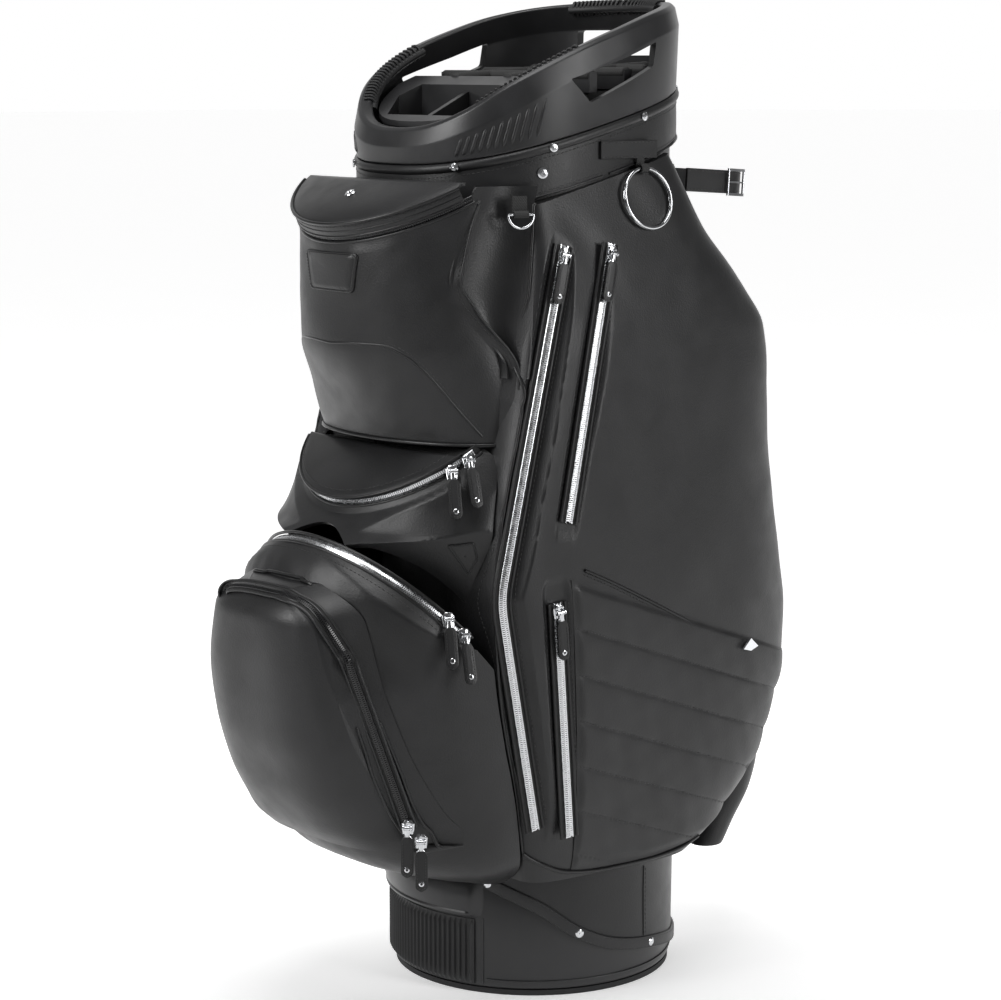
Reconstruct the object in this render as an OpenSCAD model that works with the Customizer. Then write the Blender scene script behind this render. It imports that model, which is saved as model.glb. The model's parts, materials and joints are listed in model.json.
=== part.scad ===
// Golf cart bag: moulded base and top cuff, hollow sewn body, zipped pockets and hardware.
// +Z up, origin at the middle of the base on the floor, front pockets towards -Y, +X the side
// with three zips.

/* [Body] */
// Radius of the moulded base
base_r = 134; // [133:0.5:135]
// Height of the moulded base wall
base_h = 112; // [108:1:116]
// Wall of the sewn body tube
tube_wall = 4; // [3:0.5:5]
// Half width of the body tube at the collar
top_rx = 124; // [123:0.5:125]
// Half depth of the body tube at the collar
top_ry = 143; // [142:0.5:144]

/* [Top cuff] */
// Half width of the cuff outside
cuff_rx = 128; // [127.5:0.5:129]
// Half depth of the cuff outside
cuff_ry = 147; // [146.5:0.5:148]
// Wall of the cuff
cuff_wall = 5; // [4:0.5:6]
// Depth of the handle rail, from its outer edge inwards
rail_depth = 15; // [13:1:17]

/* [Pockets] */
// Wall of the hollow cooler pocket
cooler_wall = 5; // [4:0.5:6]
// Thickness of the quilted panels
quilt_t = 3; // [2:0.5:3.5]

/* [Zips] */
// Width of a side zip tape
tape_w = 15; // [13:1:16]
// Thickness of a side zip tape
tape_t = 2.5; // [2:0.5:3]
// Length of a leather pull tab
pull_len = 44; // [36:1:46]
// Width of a leather pull tab
pull_w = 11; // [9:0.5:12]

/* [Dividers] */
// Thickness of a divider panel
panel_t = 3; // [2:0.5:4]
// Half spacing of the two long dividers
long_x = 38; // [36:1:40]

/* [Hardware] */
// Outer diameter of the towel ring
ring_d = 58; // [54:1:60]
// Wire diameter of the towel ring
ring_wire = 3; // [2.5:0.1:3.2]
// Radius of the pin that a pull hangs on
pin_r = 0.9; // [0.8:0.05:1]

/* [Hidden] */
$fn = 48;
gap = 0.5;
run_gap = 0.08;
ring_pts = 48;
black = [0.09, 0.09, 0.095];
softblack = [0.14, 0.14, 0.145];
cloth = [0.2, 0.2, 0.21];
silver = [0.75, 0.76, 0.78];

// ---- small maths -------------------------------------------------------------------------
function sgn(v) = v < 0 ? -1 : 1;
function mix(a, b, t) = a + (b - a) * t;
function oval(a, rx, ry, n) = [
  rx * sgn(cos(a)) * pow(abs(cos(a)), 2 / n),
  ry * sgn(sin(a)) * pow(abs(sin(a)), 2 / n)
];
function unit(v) = v / norm(v);

// Rotation and shift that puts local Z along v and local -Y towards the outside
function pose(p, v, out) =
  let (z = unit(v), x = unit(cross(z, out)), y = cross(z, x))
  [[x.x, y.x, z.x, p.x], [x.y, y.y, z.y, p.y], [x.z, y.z, z.z, p.z], [0, 0, 0, 1]];

// ---- closed surfaces ---------------------------------------------------------------------
// Stack of closed rings, capped at both ends
module skin(rings) {
  n = len(rings[0]);
  m = len(rings);
  sides = [for (j = [0:m - 2]) for (i = [0:n - 1]) each [
    [j * n + i, (j + 1) * n + i, (j + 1) * n + (i + 1) % n],
    [j * n + i, (j + 1) * n + (i + 1) % n, j * n + (i + 1) % n]
  ]];
  low = [for (i = [0:n - 1]) i];
  high = [for (i = [n - 1:-1:0]) (m - 1) * n + i];
  polyhedron([for (r = rings) each r], concat([low, high], sides), convexity = 8);
}

function quad(a, b, c, d) = [[a, b, c], [a, c, d]];

// Wall between two open grids of points, P outside and Q inside
module slab(P, Q) {
  m = len(P);
  n = len(P[0]);
  q = m * n;
  faces = [
    for (j = [0:m - 2]) for (i = [0:n - 2]) each concat(
      quad(j * n + i, (j + 1) * n + i, (j + 1) * n + i + 1, j * n + i + 1),
      quad(q + j * n + i + 1, q + (j + 1) * n + i + 1, q + (j + 1) * n + i, q + j * n + i)),
    for (i = [0:n - 2]) each concat(
      quad(i, i + 1, q + i + 1, q + i),
      quad((m - 1) * n + i + 1, (m - 1) * n + i, q + (m - 1) * n + i, q + (m - 1) * n + i + 1)),
    for (j = [0:m - 2]) each concat(
      quad((j + 1) * n, j * n, q + j * n, q + (j + 1) * n),
      quad(j * n + n - 1, (j + 1) * n + n - 1, q + (j + 1) * n + n - 1, q + j * n + n - 1))
  ];
  polyhedron(concat([for (r = P) each r], [for (r = Q) each r]), faces, convexity = 8);
}

// Wall between two grids whose rings close on themselves
module sleeve(P, Q) {
  m = len(P);
  n = len(P[0]);
  q = m * n;
  faces = [
    for (j = [0:m - 2]) for (i = [0:n - 1]) let (k = (i + 1) % n) each concat(
      quad(j * n + i, (j + 1) * n + i, (j + 1) * n + k, j * n + k),
      quad(q + j * n + k, q + (j + 1) * n + k, q + (j + 1) * n + i, q + j * n + i)),
    for (i = [0:n - 1]) let (k = (i + 1) % n) each concat(
      quad(i, k, q + k, q + i),
      quad((m - 1) * n + k, (m - 1) * n + i, q + (m - 1) * n + i, q + (m - 1) * n + k))
  ];
  polyhedron(concat([for (r = P) each r], [for (r = Q) each r]), faces, convexity = 8);
}

// ---- the body tube -----------------------------------------------------------------------
function tube_n(z) = lookup(z, [[112, 2], [220, 2.4]]);
function tube_rx(z) = lookup(z, [[90, 126], [450, 127], [800, top_rx]]);
function tube_ry(z) = lookup(z, [[90, 126], [450, 136], [800, top_ry]]);
function tube_cy(z) = lookup(z, [[90, 0], [450, -8], [800, -20]]);
function tube_pt(a, z, d = 0) =
  let (o = oval(a, tube_rx(z) + d, tube_ry(z) + d, tube_n(z))) [o.x, o.y + tube_cy(z), z];
// Height of the line where the collar starts, and of the cuff's lower edge, at depth y
function collar_z(y) = 766 + 0.25 * y;
function cuff_z(y) = 811 + 0.25 * y;
function ring_angles() = [for (i = [0:ring_pts - 1]) i * 360 / ring_pts];

// Ring round the tube whose height follows a slope
function tube_ring(d, z0, slope, level) = [
  for (a = ring_angles()) let (p = tube_pt(a, level, d)) [p.x, p.y, z0 + slope * p.y]
];

module body_shell() {
  levels = [90, 112, 140, 180, 220, 450];
  function wall(d) = concat([tube_ring(d, 24, 0, 90)],
                            [for (z = levels) tube_ring(d, z, 0, z)],
                            [tube_ring(d, 796, 0.25, 800)]);
  outer = wall(0);
  inner = wall(-tube_wall);
  color(black) sleeve(outer, inner);
}

// ---- base --------------------------------------------------------------------------------
sole_t = 5;
floor_t = 5;
cup_wall = 3.5;
hood_from = -52;
hood_to = 29;

// Part of a round wall between two angles, measured from the front
module arc_wall(r_in, r_out, z0, z1, from, to) {
  rotate([0, 0, from - 90])
    rotate_extrude(angle = to - from, $fn = 96)
      polygon([[r_in, z0], [r_out, z0], [r_out, z1], [r_in, z1]]);
}

module base_cup() {
  color(black) {
    difference() {
      translate([0, 0, sole_t]) cylinder(r = base_r, h = base_h - sole_t, $fn = 96);
      translate([0, 0, sole_t + floor_t])
        cylinder(r = base_r - cup_wall, h = base_h, $fn = 96);
    }
    rotate([0, 0, hood_from - 90])
      rotate_extrude(angle = hood_to - hood_from, $fn = 96)
        polygon([[base_r - 1, 72], [base_r + 2, 72], [base_r + 9, 82], [base_r + 10, 94],
                 [base_r + 6, 108], [base_r - 1, base_h]]);
  }
}

rib_count = 31;
rib_from = -50;
rib_to = 26;
module base_grip_panel() {
  color(black) {
    arc_wall(base_r + 0.3, base_r + 2, 8, 71, rib_from, rib_to);
    for (i = [0:rib_count - 1])
      rotate([0, 0, -90 + mix(rib_from + 2, rib_to - 2, i / (rib_count - 1))])
        translate([base_r + 1.5, -1.6, 10]) cube([3, 3.2, 59]);
  }
}

module base_sole() {
  color(black) cylinder(r = base_r - 1.5, h = sole_t, $fn = 96);
}

// Height of the trim band's middle at an angle measured from the front, mirrored left to right
function trim_z(b) = lookup(b, [[30, 110], [36, 104], [52, 86], [68, 60], [83, 45], [106, 35], [135, 25],
                                [180, 22]]);
trim_angles = [for (i = [0:42]) mix(31, 304, i / 42)];
function round_pt(b, r, z) = [r * sin(b), -r * cos(b), z];
// Angle from the hood's nearer end, as if both ends were as far round as the right one
function folded(b) = b > 180 ? 180 - (b - 180) * 149 / 124 : b;

function skirt_top(b) = folded(b) < 43 || b > 265 ? 112.8 : 116 + 0.03 * base_r * cos(b);
module base_skirt() {
  function at(b, r) = [round_pt(b, r, trim_z(folded(b)) - 2), round_pt(b, r, skirt_top(b))];
  r0 = base_r + gap;
  r1 = r0 + 1.6;
  color(softblack)
    slab([for (k = [0, 1]) [for (b = trim_angles) at(b, r1)[k]]],
         [for (k = [0, 1]) [for (b = trim_angles) at(b, r0)[k]]]);
}

module base_trim() {
  r0 = base_r + gap + 1.9;
  r1 = r0 + 1.8;
  color(softblack) slab(
    [[for (b = trim_angles) round_pt(b, r1, trim_z(folded(b)) - 6)],
     [for (b = trim_angles) round_pt(b, r1, trim_z(folded(b)) + 6)]],
    [[for (b = trim_angles) round_pt(b, r0, trim_z(folded(b)) - 6)],
     [for (b = trim_angles) round_pt(b, r0, trim_z(folded(b)) + 6)]]);
}

// Domed rivet head, local +Z outwards
module rivet(r) {
  rotate_extrude($fn = 24)
    polygon([[0, 0], [r, 0], [r, 0.8], [0.7 * r, 1.6], [0, 1.9]]);
}

base_rivet_angles = [32, 68, 104, 150, 205, 243, 273, 303];
collar_rivet_angles = [-61, -20, 12, 62, 118, 168, 200, 241];
rivet_r = 4;

// Outward direction of the collar oval at parameter a
function collar_dir(a) =
  let (p = oval(a - 1, cuff_rx, cuff_ry, 2.5), q = oval(a + 1, cuff_rx, cuff_ry, 2.5),
       t = q - p)
  atan2(-t.x, t.y);

module on_collar(a, drop, lift) {
  o = oval(a, cuff_rx, cuff_ry, 2.5);
  y = o.y - 20;
  translate([o.x, y, cuff_z(y) - drop])
    rotate([0, 0, collar_dir(a)])
      rotate([0, 90, 0])
        translate([0, 0, lift]) children();
}

module rivets() {
  color(silver) {
    for (b = base_rivet_angles)
      rotate([0, 0, b - 90])
        translate([base_r + 4.4, 0, trim_z(folded(b))])
          rotate([0, 90, 0]) rivet(rivet_r);
    for (a = collar_rivet_angles) on_collar(a, 5, 2.6) rivet(rivet_r);
  }
}

module snap_sockets() {
  color(silver) {
    for (a = [-24, 204])
      on_collar(a, 25, 0.5)
        difference() {
          rivet(rivet_r + 1);
          translate([0, 0, 1]) cylinder(r = 1.6, h = 3, $fn = 24);
        }
  }
}

// ---- inside ------------------------------------------------------------------------------
module rod(p, q, r) {
  multmatrix(pose(p, q - p, [0.3, 0.9, 0.1])) cylinder(r = r, h = norm(q - p), $fn = 24);
}

module stays() {
  color(cloth)
    for (a = [42, 138, 222, 318])
      rod(tube_pt(a, 90, -10.5) + [0, 0, -78], tube_pt(a, 800, -17) + [0, 0, -70], 4);
}

// Rows of cross dividers behind the deck
deck_back = -64;
cross_y = [-20, 26, 70];
function deck_z(y) = lookup(y, [[-170, 800], [-64, 851], [0, 855], [130, 863]]);
panel_foot = 14;
plate_end = 108;
function edge_x(y, z, d) =
  let (k = pow(abs(y - tube_cy(z)) / (tube_ry(z) - d), tube_n(z)))
  (tube_rx(z) - d) * pow(max(0, 1 - k), 1 / tube_n(z));

// Upright panel in the plane x = x0, from y0 to y1
module long_panel(x0, y0, y1) {
  translate([x0 - panel_t / 2, 0, 0])
    rotate([90, 0, 90])
      linear_extrude(panel_t)
        polygon([[y0, panel_foot], [y1, panel_foot], [y1, deck_z(y1) - 22],
                 [y0, deck_z(y0) - 22]]);
}

// Upright panel in the plane y = y0, from x0 to x1
module cross_panel(y0, x0, x1) {
  translate([x0, y0 - panel_t / 2, panel_foot])
    cube([x1 - x0, panel_t, deck_z(y0) - 22 - panel_foot]);
}

panel_edge = 25;
module divider_panels() {
  color(cloth) {
    for (s = [-1, 1]) long_panel(s * long_x, deck_back + 1, plate_end - 8);
    for (y = cross_y) {
      inner = long_x - panel_t / 2 - gap;
      outer = long_x + panel_t / 2 + gap;
      cross_panel(y, -inner, inner);
      cross_panel(y, outer, edge_x(y, 90, panel_edge));
      cross_panel(y, -edge_x(y, 90, panel_edge), -outer);
    }
  }
}

// Flat wedge of deck between two heights measured down from the deck surface
module deck_slice(outline, down, thick) {
  intersection() {
    linear_extrude(1000) polygon(outline);
    rotate([90, 0, 90])
      translate([0, 0, -150])
        linear_extrude(300)
          polygon([[-170, deck_z(-170) - down - thick], [-64, deck_z(-64) - down - thick],
                   [0, deck_z(0) - down - thick], [130, deck_z(130) - down - thick],
                   [130, deck_z(130) - down], [0, deck_z(0) - down],
                   [-64, deck_z(-64) - down], [-170, deck_z(-170) - down]]);
  }
}

function cuff_oval(d, from, to, steps) = [
  for (i = [0:steps]) let (o = oval(mix(from, to, i / steps), cuff_rx - d, cuff_ry - d, 2.5))
    [o.x, o.y - 20]
];

well_out = [[-70, -78], [-78, -102], [-50, -139], [50, -139], [78, -102], [70, -78]];
well_in = [[-66, -80], [-73, -102], [-47, -135.5], [47, -135.5], [73, -102], [66, -80]];
bar_w = 9;
module divider_top() {
  front = cuff_oval(rail_depth + 5, 202, 338, 24);
  color(softblack) {
    difference() {
      deck_slice(concat(front, [[96, deck_back], [-96, deck_back]]), 4, 5);
      linear_extrude(1000) polygon(well_in);
    }
    difference() {
      deck_slice(well_out, 5, 60);
      linear_extrude(1000) polygon(well_in);
    }
    deck_slice([[-3, -135], [3, -135], [3, -80.5], [-3, -80.5]], 10, 50);
  }
}

// Straight bar of the divider from one corner to the other, in plan
module bar(x0, y0, x1, y1) {
  deck_slice([[x0, y0], [x1, y0], [x1, y1], [x0, y1]], 3, 18);
}

module divider_bars() {
  w = bar_w / 2;
  color(softblack) {
    for (s = [-1, 1]) {
      bar(s * long_x - w, deck_back + gap, s * long_x + w, -0.1);
      bar(s * long_x - w, 0.1, s * long_x + w, 109);
    }
    for (y = cross_y) {
      e = edge_x(y, 800, 18);
      bar(-long_x + w + 0.2, y - w, long_x - w - 0.2, y + w);
      for (s = [-1, 1]) bar(s * (long_x + w + 0.2), y - w, s * e, y + w);
    }
  }
}

// ---- cuff --------------------------------------------------------------------------------
function rim_z(y) = lookup(y, [[-168, 801], [-150, 817], [-120, 841], [-60, 870], [0, 890],
                               [50, 904], [104, 914], [132, 917]]);
function crease_z(y) = lookup(y, [[-168, 784], [-150, 797], [-120, 815], [-60, 845],
                                  [0, 868], [50, 884], [104, 895], [132, 898]]);
cuff_angles = [for (i = [0:59]) i * 6 + 3];
function cuff_pt(a, d, drop, kind) =
  let (o = oval(a, cuff_rx - d, cuff_ry - d, 2.5), w = oval(a, cuff_rx, cuff_ry, 2.5),
       y = w.y - 20,
       z = kind == 0 ? cuff_z(y) : kind == 1 ? crease_z(y) : rim_z(y))
  [o.x, o.y - 20, z - drop];

module cuff_body() {
  skirt = 48;
  outer = [[12, skirt, 0], [12, 0, 0], [0.5, 0, 0], [-1.5, 0, 1], [5, 0, 2]];
  inner = [[16, skirt, 0], [16, 3, 0], [cuff_wall, -4, 0], [cuff_wall + 1, 5, 1],
           [rail_depth, 0, 2]];
  sleeve([for (s = outer) [for (a = cuff_angles) cuff_pt(a, s[0], s[1], s[2])]],
         [for (s = inner) [for (a = cuff_angles) cuff_pt(a, s[0], s[1], s[2])]]);
}

// Side window outline in Y and Z, and back window half width
side_window = [[-65, 845], [-42, 824], [37, 856], [41, 878], [0, 864]];
back_window = 62;
module cuff() {
  color(black)
    difference() {
      cuff_body();
      rotate([90, 0, 90])
        translate([0, 0, -200]) linear_extrude(400) polygon(side_window);
      translate([-back_window, 90, 866]) cube([2 * back_window, 80, 24]);
    }
}

// Ribbed grips under the inside of the rail: front left and right, and the back
grip_ranges = [[-52, -8], [188, 232], [64, 116]];
module cuff_grips() {
  color(black)
    for (g = grip_ranges) {
      steps = [for (i = [0:10]) mix(g[0], g[1], i / 10)];
      slab([for (d = [-10, -2.5]) [for (a = steps) cuff_pt(a, rail_depth + 0.6, -d, 2) + [0, 0, 2 * d]]],
           [for (d = [-10, -2.5]) [for (a = steps) cuff_pt(a, rail_depth + 4, -d, 2) + [0, 0, 2 * d]]]);
    }
}

// ---- collar ------------------------------------------------------------------------------
module collar_band() {
  outer = [[for (a = cuff_angles) let (p = cuff_pt(a, 0.4, 0, 0)) [p.x, p.y, collar_z(p.y)]],
           [for (a = cuff_angles) cuff_pt(a, 0.4, 9.5, 0)]];
  inner = [[for (a = cuff_angles) let (p = cuff_pt(a, 3.2, 0, 0)) [p.x, p.y, collar_z(p.y)]],
           [for (a = cuff_angles) cuff_pt(a, 3.2, 9.5, 0)]];
  color(softblack) sleeve(outer, inner);
}

module collar_piping() {
  color(softblack)
    sleeve([for (s = [[0, 9], [-2, 7], [-2, 3], [0, 1]])
              [for (a = cuff_angles) cuff_pt(a, s[0], s[1], 0)]],
           [for (s = [[4, 9], [4, 7], [4, 3], [4, 1]])
              [for (a = cuff_angles) cuff_pt(a, s[0], s[1], 0)]]);
}

// ---- side pockets ------------------------------------------------------------------------
// Front and back edges in depth, and the bulge from the middle, at each height
side_front = [[116, -116], [143, -127], [206, -141], [301, -164], [393, -173], [428, -170],
              [506, -153], [567, -138], [654, -124], [762, -107]];
side_back = [[116, 100], [133, 128], [164, 155], [203, 189], [242, 204], [290, 219], [340, 221],
             [394, 212], [446, 201], [506, 195], [562, 193], [611, 184], [640, 160], [652, 148],
             [696, 104], [762, 62]];
side_bulge = [[116, 138], [143, 144], [206, 155], [301, 163], [393, 167], [506, 164],
              [611, 158], [696, 146.6], [762, 129.3]];
side_levels = [117, 134, 160, 205, 220, 250, 300, 350, 393, 430, 465, 505, 560, 585, 610, 655, 678,
               700, 731, 762];
side_cols = 23;
// Distance of the section's middle from the bag's middle plane; further out near the collar
function side_mid(z) = lookup(z, [[560, 84], [611, 94], [654, 99], [700, 104], [762, 112]]);
// Rise of a level towards the back, so that the hem and the collar line slope
function side_slope(z) = lookup(z, [[117, -0.03], [250, 0], [600, 0], [762, 0.25]]);
function side_pt(a, z, d = 0) =
  let (f = lookup(z, side_front), b = lookup(z, side_back), mid = side_mid(z),
       o = oval(a, lookup(z, side_bulge) - mid + d, (b - f) / 2 + d, a < 0 ? 7 : 3.2),
       y = o.y + (f + b) / 2)
  [mid + o.x, y, z + side_slope(z) * y];
// Columns are closer together towards the middle, where the section turns quickest
function side_angle(t) = t < 0.5 ? -90 * pow(1 - 2 * t, 1.6) : 90 * (2 * t - 1);
// Part of the body tube that the pocket covers, as angles round the tube
function cover_from(z) = lookup(z, [[560, -50], [611, -45], [654, -42], [700, -38], [762, -32]]);
function cover_to(z) = lookup(z, [[652, 64], [700, 45], [762, 28]]);
function side_in(t, z, d) =
  let (p = tube_pt(mix(cover_from(z), cover_to(z), t), z, d + lookup(z, [[600, 0], [655, 1]])))
  [p.x, p.y, z + side_slope(z) * p.y];

// Straight zips on the side: upper end, lower end and the way they face
zip_long = [[141, -86, 700], [150, -167, 393], 76];
zip_low_run = [[150, -167, 393], [143, -120, 175], 76];
zip_upper = [[149, -38, 700], [163, -100, 456], 84];
zip_lower = [[162, -112, 386], [153, -88, 165], 82];
function facing(az) = [sin(az), -cos(az), 0];

module on_zip(z) {
  multmatrix(pose(z[1], z[0] - z[1], facing(z[2]))) children();
}

// Free space kept over a zip: its tape, slider and pull
module zip_channel(z, extra) {
  long = norm(z[0] - z[1]);
  on_zip(z)
    translate([-tape_w / 2 - 1.2, -30, -extra])
      cube([tape_w + 2.4, 30 + 0.3, long + extra + 6]);
}

// Same zip on the other side
function flip(z) = [[-z[0].x, z[0].y, z[0].z], [-z[1].x, z[1].y, z[1].z], -z[2]];

// Pocket solid on the right (s = 1) or the left (s = -1)
module side_solid(s) {
  cols = [for (i = [0:side_cols - 1]) let (k = s > 0 ? i : side_cols - 1 - i)
            k / (side_cols - 1)];
  function turned(p) = [s * p.x, p.y, p.z];
  slab([for (z = side_levels) [for (t = cols) turned(side_pt(side_angle(t), z))]],
       [for (z = side_levels) [for (t = cols) turned(side_in(t, z, gap))]]);
}

module side_pocket_right() {
  color(softblack)
    difference() {
      side_solid(1);
      zip_channel(zip_long, 0);
      zip_channel(zip_low_run, 4);
      zip_channel(zip_upper, 4);
      zip_channel(zip_lower, 4);
    }
}

module side_pocket_left() {
  color(softblack)
    difference() {
      side_solid(-1);
      zip_channel(flip(zip_long), 0);
      zip_channel(flip(zip_low_run), 4);
    }
}

// Height of the seam above the quilted panel at depth y
function seam_z(y) = 380 - 0.36 * (y + 20);
module quilt(side) {
  cols = concat([-4.5, -1.5], [for (i = [0:16]) 54 * i / 16]);
  rows = [for (i = [0:6]) i / 6];
  function at(a, t, d) =
    let (p = side_pt(a, 300), top = seam_z(p.y) - 6, z = mix(178, top, t)) side_pt(a, z, d);
  mirror([side < 0 ? 1 : 0, 0, 0])
    slab([for (t = rows) [for (a = cols) at(a, t, 3 * gap + quilt_t)]],
         [for (t = rows) [for (a = cols) at(a, t, 3 * gap)]]);
}

module quilt_panels() {
  color(softblack) {
    difference() {
      quilt(1);
      zip_channel(zip_lower, 4);
    }
    quilt(-1);
  }
}

module zip_tape(z) {
  on_zip(z)
    translate([-tape_w / 2, -tape_t, 0]) cube([tape_w, tape_t, norm(z[0] - z[1])]);
}

module side_zips() {
  color(silver) {
    for (z = [zip_long, zip_low_run, zip_upper, zip_lower]) zip_tape(z);
    mirror([1, 0, 0]) {
      zip_tape(zip_long);
      zip_tape(zip_low_run);
    }
  }
}

// ---- sliders and pulls -------------------------------------------------------------------
// A slider stands behind the pin that its pull hangs on. Local origin on the pin, local X along
// the pin, local -Y outwards.
slider_w = 9;
slider_l = 13;
slider_t = 3.6;
cheek_w = 1.6;
eye_w = slider_w - 2 * cheek_w - 0.8;
module slider_shape() {
  translate([-slider_w / 2, 2.4, -slider_l / 2]) cube([slider_w, slider_t, slider_l]);
  for (s = [-1, 1])
    translate([s * (slider_w - cheek_w) / 2 - cheek_w / 2, -1.6, -2.2])
      cube([cheek_w, 4.4, 4.4]);
  translate([-slider_w / 2 + 0.4, 0, 0])
    rotate([0, 90, 0]) cylinder(r = pin_r, h = slider_w - 0.8, $fn = 24);
}

module pull_shape() {
  difference() {
    union() {
      translate([-eye_w / 2, 0, 0])
        rotate([0, 90, 0]) cylinder(r = 2.1, h = eye_w, $fn = 24);
      translate([-eye_w / 2, -1.1, -9]) cube([eye_w, 2.2, 9]);
    }
    translate([-eye_w, 0, 0])
      rotate([0, 90, 0]) cylinder(r = pin_r + run_gap, h = 2 * eye_w, $fn = 24);
  }
  translate([-pull_w / 2, -1.3, -pull_len + pull_w / 2])
    cube([pull_w, 2.6, pull_len - pull_w / 2 - 8]);
  translate([0, 1.3, -pull_len + pull_w / 2])
    rotate([90, 0, 0]) cylinder(r = pull_w / 2, h = 2.6, $fn = 32);
  translate([0, -1.2, -pull_len + 7])
    rotate([90, 0, 0]) cylinder(r = 2.4, h = 0.9, $fn = 24);
}

// Where each pin is, the compass way it faces from the front towards +X, and the pull's lean
slot_accessory = [[114.2, -190, 505.6], 60, 25];
slot_accessory_b = [[121.9, -176.3, 515.1], 70, 25];
slot_ball = [[138.8, -214.4, 380.5], 62, 20];
slot_ball_b = [[145.8, -201.6, 365.8], 70, 20];
slot_front = [[124.5, -251, 196], 42, 2];
slot_front_b = [[134.4, -243.4, 184], 54, 2];
function on_side(z, down) =
  let (v = unit(z[1] - z[0])) z[0] + down * v + facing(z[2]) * (tape_t + 6.6);

module at_slot(s) {
  translate(s[0]) rotate([0, 0, s[1]]) rotate([-s[2], 0, 0]) children();
}

module at_side(z, down) {
  multmatrix(pose(on_side(z, down), z[0] - z[1], facing(z[2]))) children();
}

module parked_sliders() {
  color(silver) {
    at_slot(slot_accessory_b) slider_shape();
    at_slot(slot_ball_b) slider_shape();
    at_slot(slot_front_b) slider_shape();
  }
}

module accessory_slider() { color(silver) at_slot(slot_accessory) slider_shape(); }
module accessory_pull() { color(softblack) at_slot(slot_accessory) pull_shape(); }
module accessory_pull_b() { color(softblack) at_slot(slot_accessory_b) pull_shape(); }
module ball_slider() { color(silver) at_slot(slot_ball) slider_shape(); }
module ball_pull() { color(softblack) at_slot(slot_ball) pull_shape(); }
module ball_pull_b() { color(softblack) at_slot(slot_ball_b) pull_shape(); }
module front_slider() { color(silver) at_slot(slot_front) slider_shape(); }
module front_pull() { color(softblack) at_slot(slot_front) pull_shape(); }
module front_pull_b() { color(softblack) at_slot(slot_front_b) pull_shape(); }
module long_slider_right() { color(silver) at_side(zip_long, 8) slider_shape(); }
module long_pull_right() { color(softblack) at_side(zip_long, 8) pull_shape(); }
module upper_slider() { color(silver) at_side(zip_upper, 8) slider_shape(); }
module upper_pull() { color(softblack) at_side(zip_upper, 8) pull_shape(); }
module lower_slider() { color(silver) at_side(zip_lower, 8) slider_shape(); }
module lower_pull() { color(softblack) at_side(zip_lower, 8) pull_shape(); }
module long_slider_left() {
  color(silver) mirror([1, 0, 0]) at_side(zip_long, 8) slider_shape();
}
module long_pull_left() {
  color(softblack) mirror([1, 0, 0]) at_side(zip_long, 8) pull_shape();
}

// ---- front pockets -----------------------------------------------------------------------
// A front pocket's plan at each height: a rounded bow in front of the tube
bow_cols = 24;
function bow(rx, yf, n, z, slope = 0, yc = -140, back = true) =
  let (arc = [for (i = [0:bow_cols]) let (o = oval(mix(180, 360, i / bow_cols), rx, -yf + yc, n),
                                         y = o.y + yc) [o.x, y, z + slope * (y - yf)]],
       rear = [for (a = [-50, -70, -90, -110, -130])
                 let (p = tube_pt(a, z, 3), y = min(p.y, yc - 3 + pow((a + 90) / 35, 2)))
                 [p.x, y, z + slope * (y - yf)]])
  concat(arc, rear);
function front_edge(z) = lookup(z, side_front) - 2 * gap;

// Half space above or below a plane through X, at height z0 where y = y0
module above(y0, z0, slope) {
  translate([0, y0, z0]) rotate([atan(slope), 0, 0]) translate([-300, -300, 0]) cube(600);
}

module below(y0, z0, slope) {
  translate([0, y0, z0]) rotate([atan(slope), 0, 0]) translate([-300, -300, -600]) cube(600);
}

// Planes of the three arched zips: depth and height at the middle, slope, radius
cooler_arc = [-237, 703, 0.52, 122];
accessory_arc = [-238, 471, 0.72, 120];
ball_arc = [-270, 440, -1.08, 143];

// Centre of an arched zip's circle
function arc_centre(c) = let (k = norm([1, c[2]])) [0, c[0] + c[3] / k, c[1] + c[3] * c[2] / k];

// Round wall following an arched zip: in-plane radii and heights across the plane
ball_groove = [[137.4, -3], [144.4, -3], [144.4, -8], [149, -36], [190, -36], [190, 9.4],
               [144.4, 9.4], [144.4, 3], [137.4, 3]];
accessory_groove = [[114.4, -5.6], [119.5, -5.6], [119.5, -7], [124.8, -10.6], [170, -10.6],
                    [170, 6], [114.4, 6]];
module arc_band(c, r_in, r_out, low, high, from, to) {
  translate(arc_centre(c))
    rotate([atan(c[2]), 0, 0])
      rotate([0, 0, from - 90])
        rotate_extrude(angle = to - from, $fn = 120)
          polygon([[r_in, low], [r_out, low], [r_out, high], [r_in, high]]);
}

// Groove cut round an arched zip, with the profile given as in-plane radius and height
module arc_groove(c, profile, from, to) {
  translate(arc_centre(c))
    rotate([atan(c[2]), 0, 0])
      rotate([0, 0, from - 90])
        rotate_extrude(angle = to - from, $fn = 120) polygon(profile);
}

// Cooler pocket: curved wall, back and floor
cooler_rows = [[524, 124, -198], [567, 124, -218], [612, 122.5, -236.5], [660, 122, -237.5]];
cooler_cols = 26;
function cooler_top(y) = cooler_arc[1] - 0.8 + cooler_arc[2] * (y - cooler_arc[0]);
function cooler_pt(i, r, d) =
  let (o = oval(mix(204, 336, i / cooler_cols), r[1] - d, -r[2] - 129 - d, 2.05))
  [o.x, o.y - 129, r[0]];
function cooler_row(r, d) = [for (i = [0:cooler_cols]) cooler_pt(i, r, d)];
function cooler_edge(d, down) =
  [for (i = [0:cooler_cols]) let (p = cooler_pt(i, [0, 122, -237], d))
     [p.x, p.y, cooler_top(p.y) - down]];
function cooler_wall_rows(d) = concat([for (r = cooler_rows) cooler_row(r, d)],
                                      [cooler_edge(d, 0)]);

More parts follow.
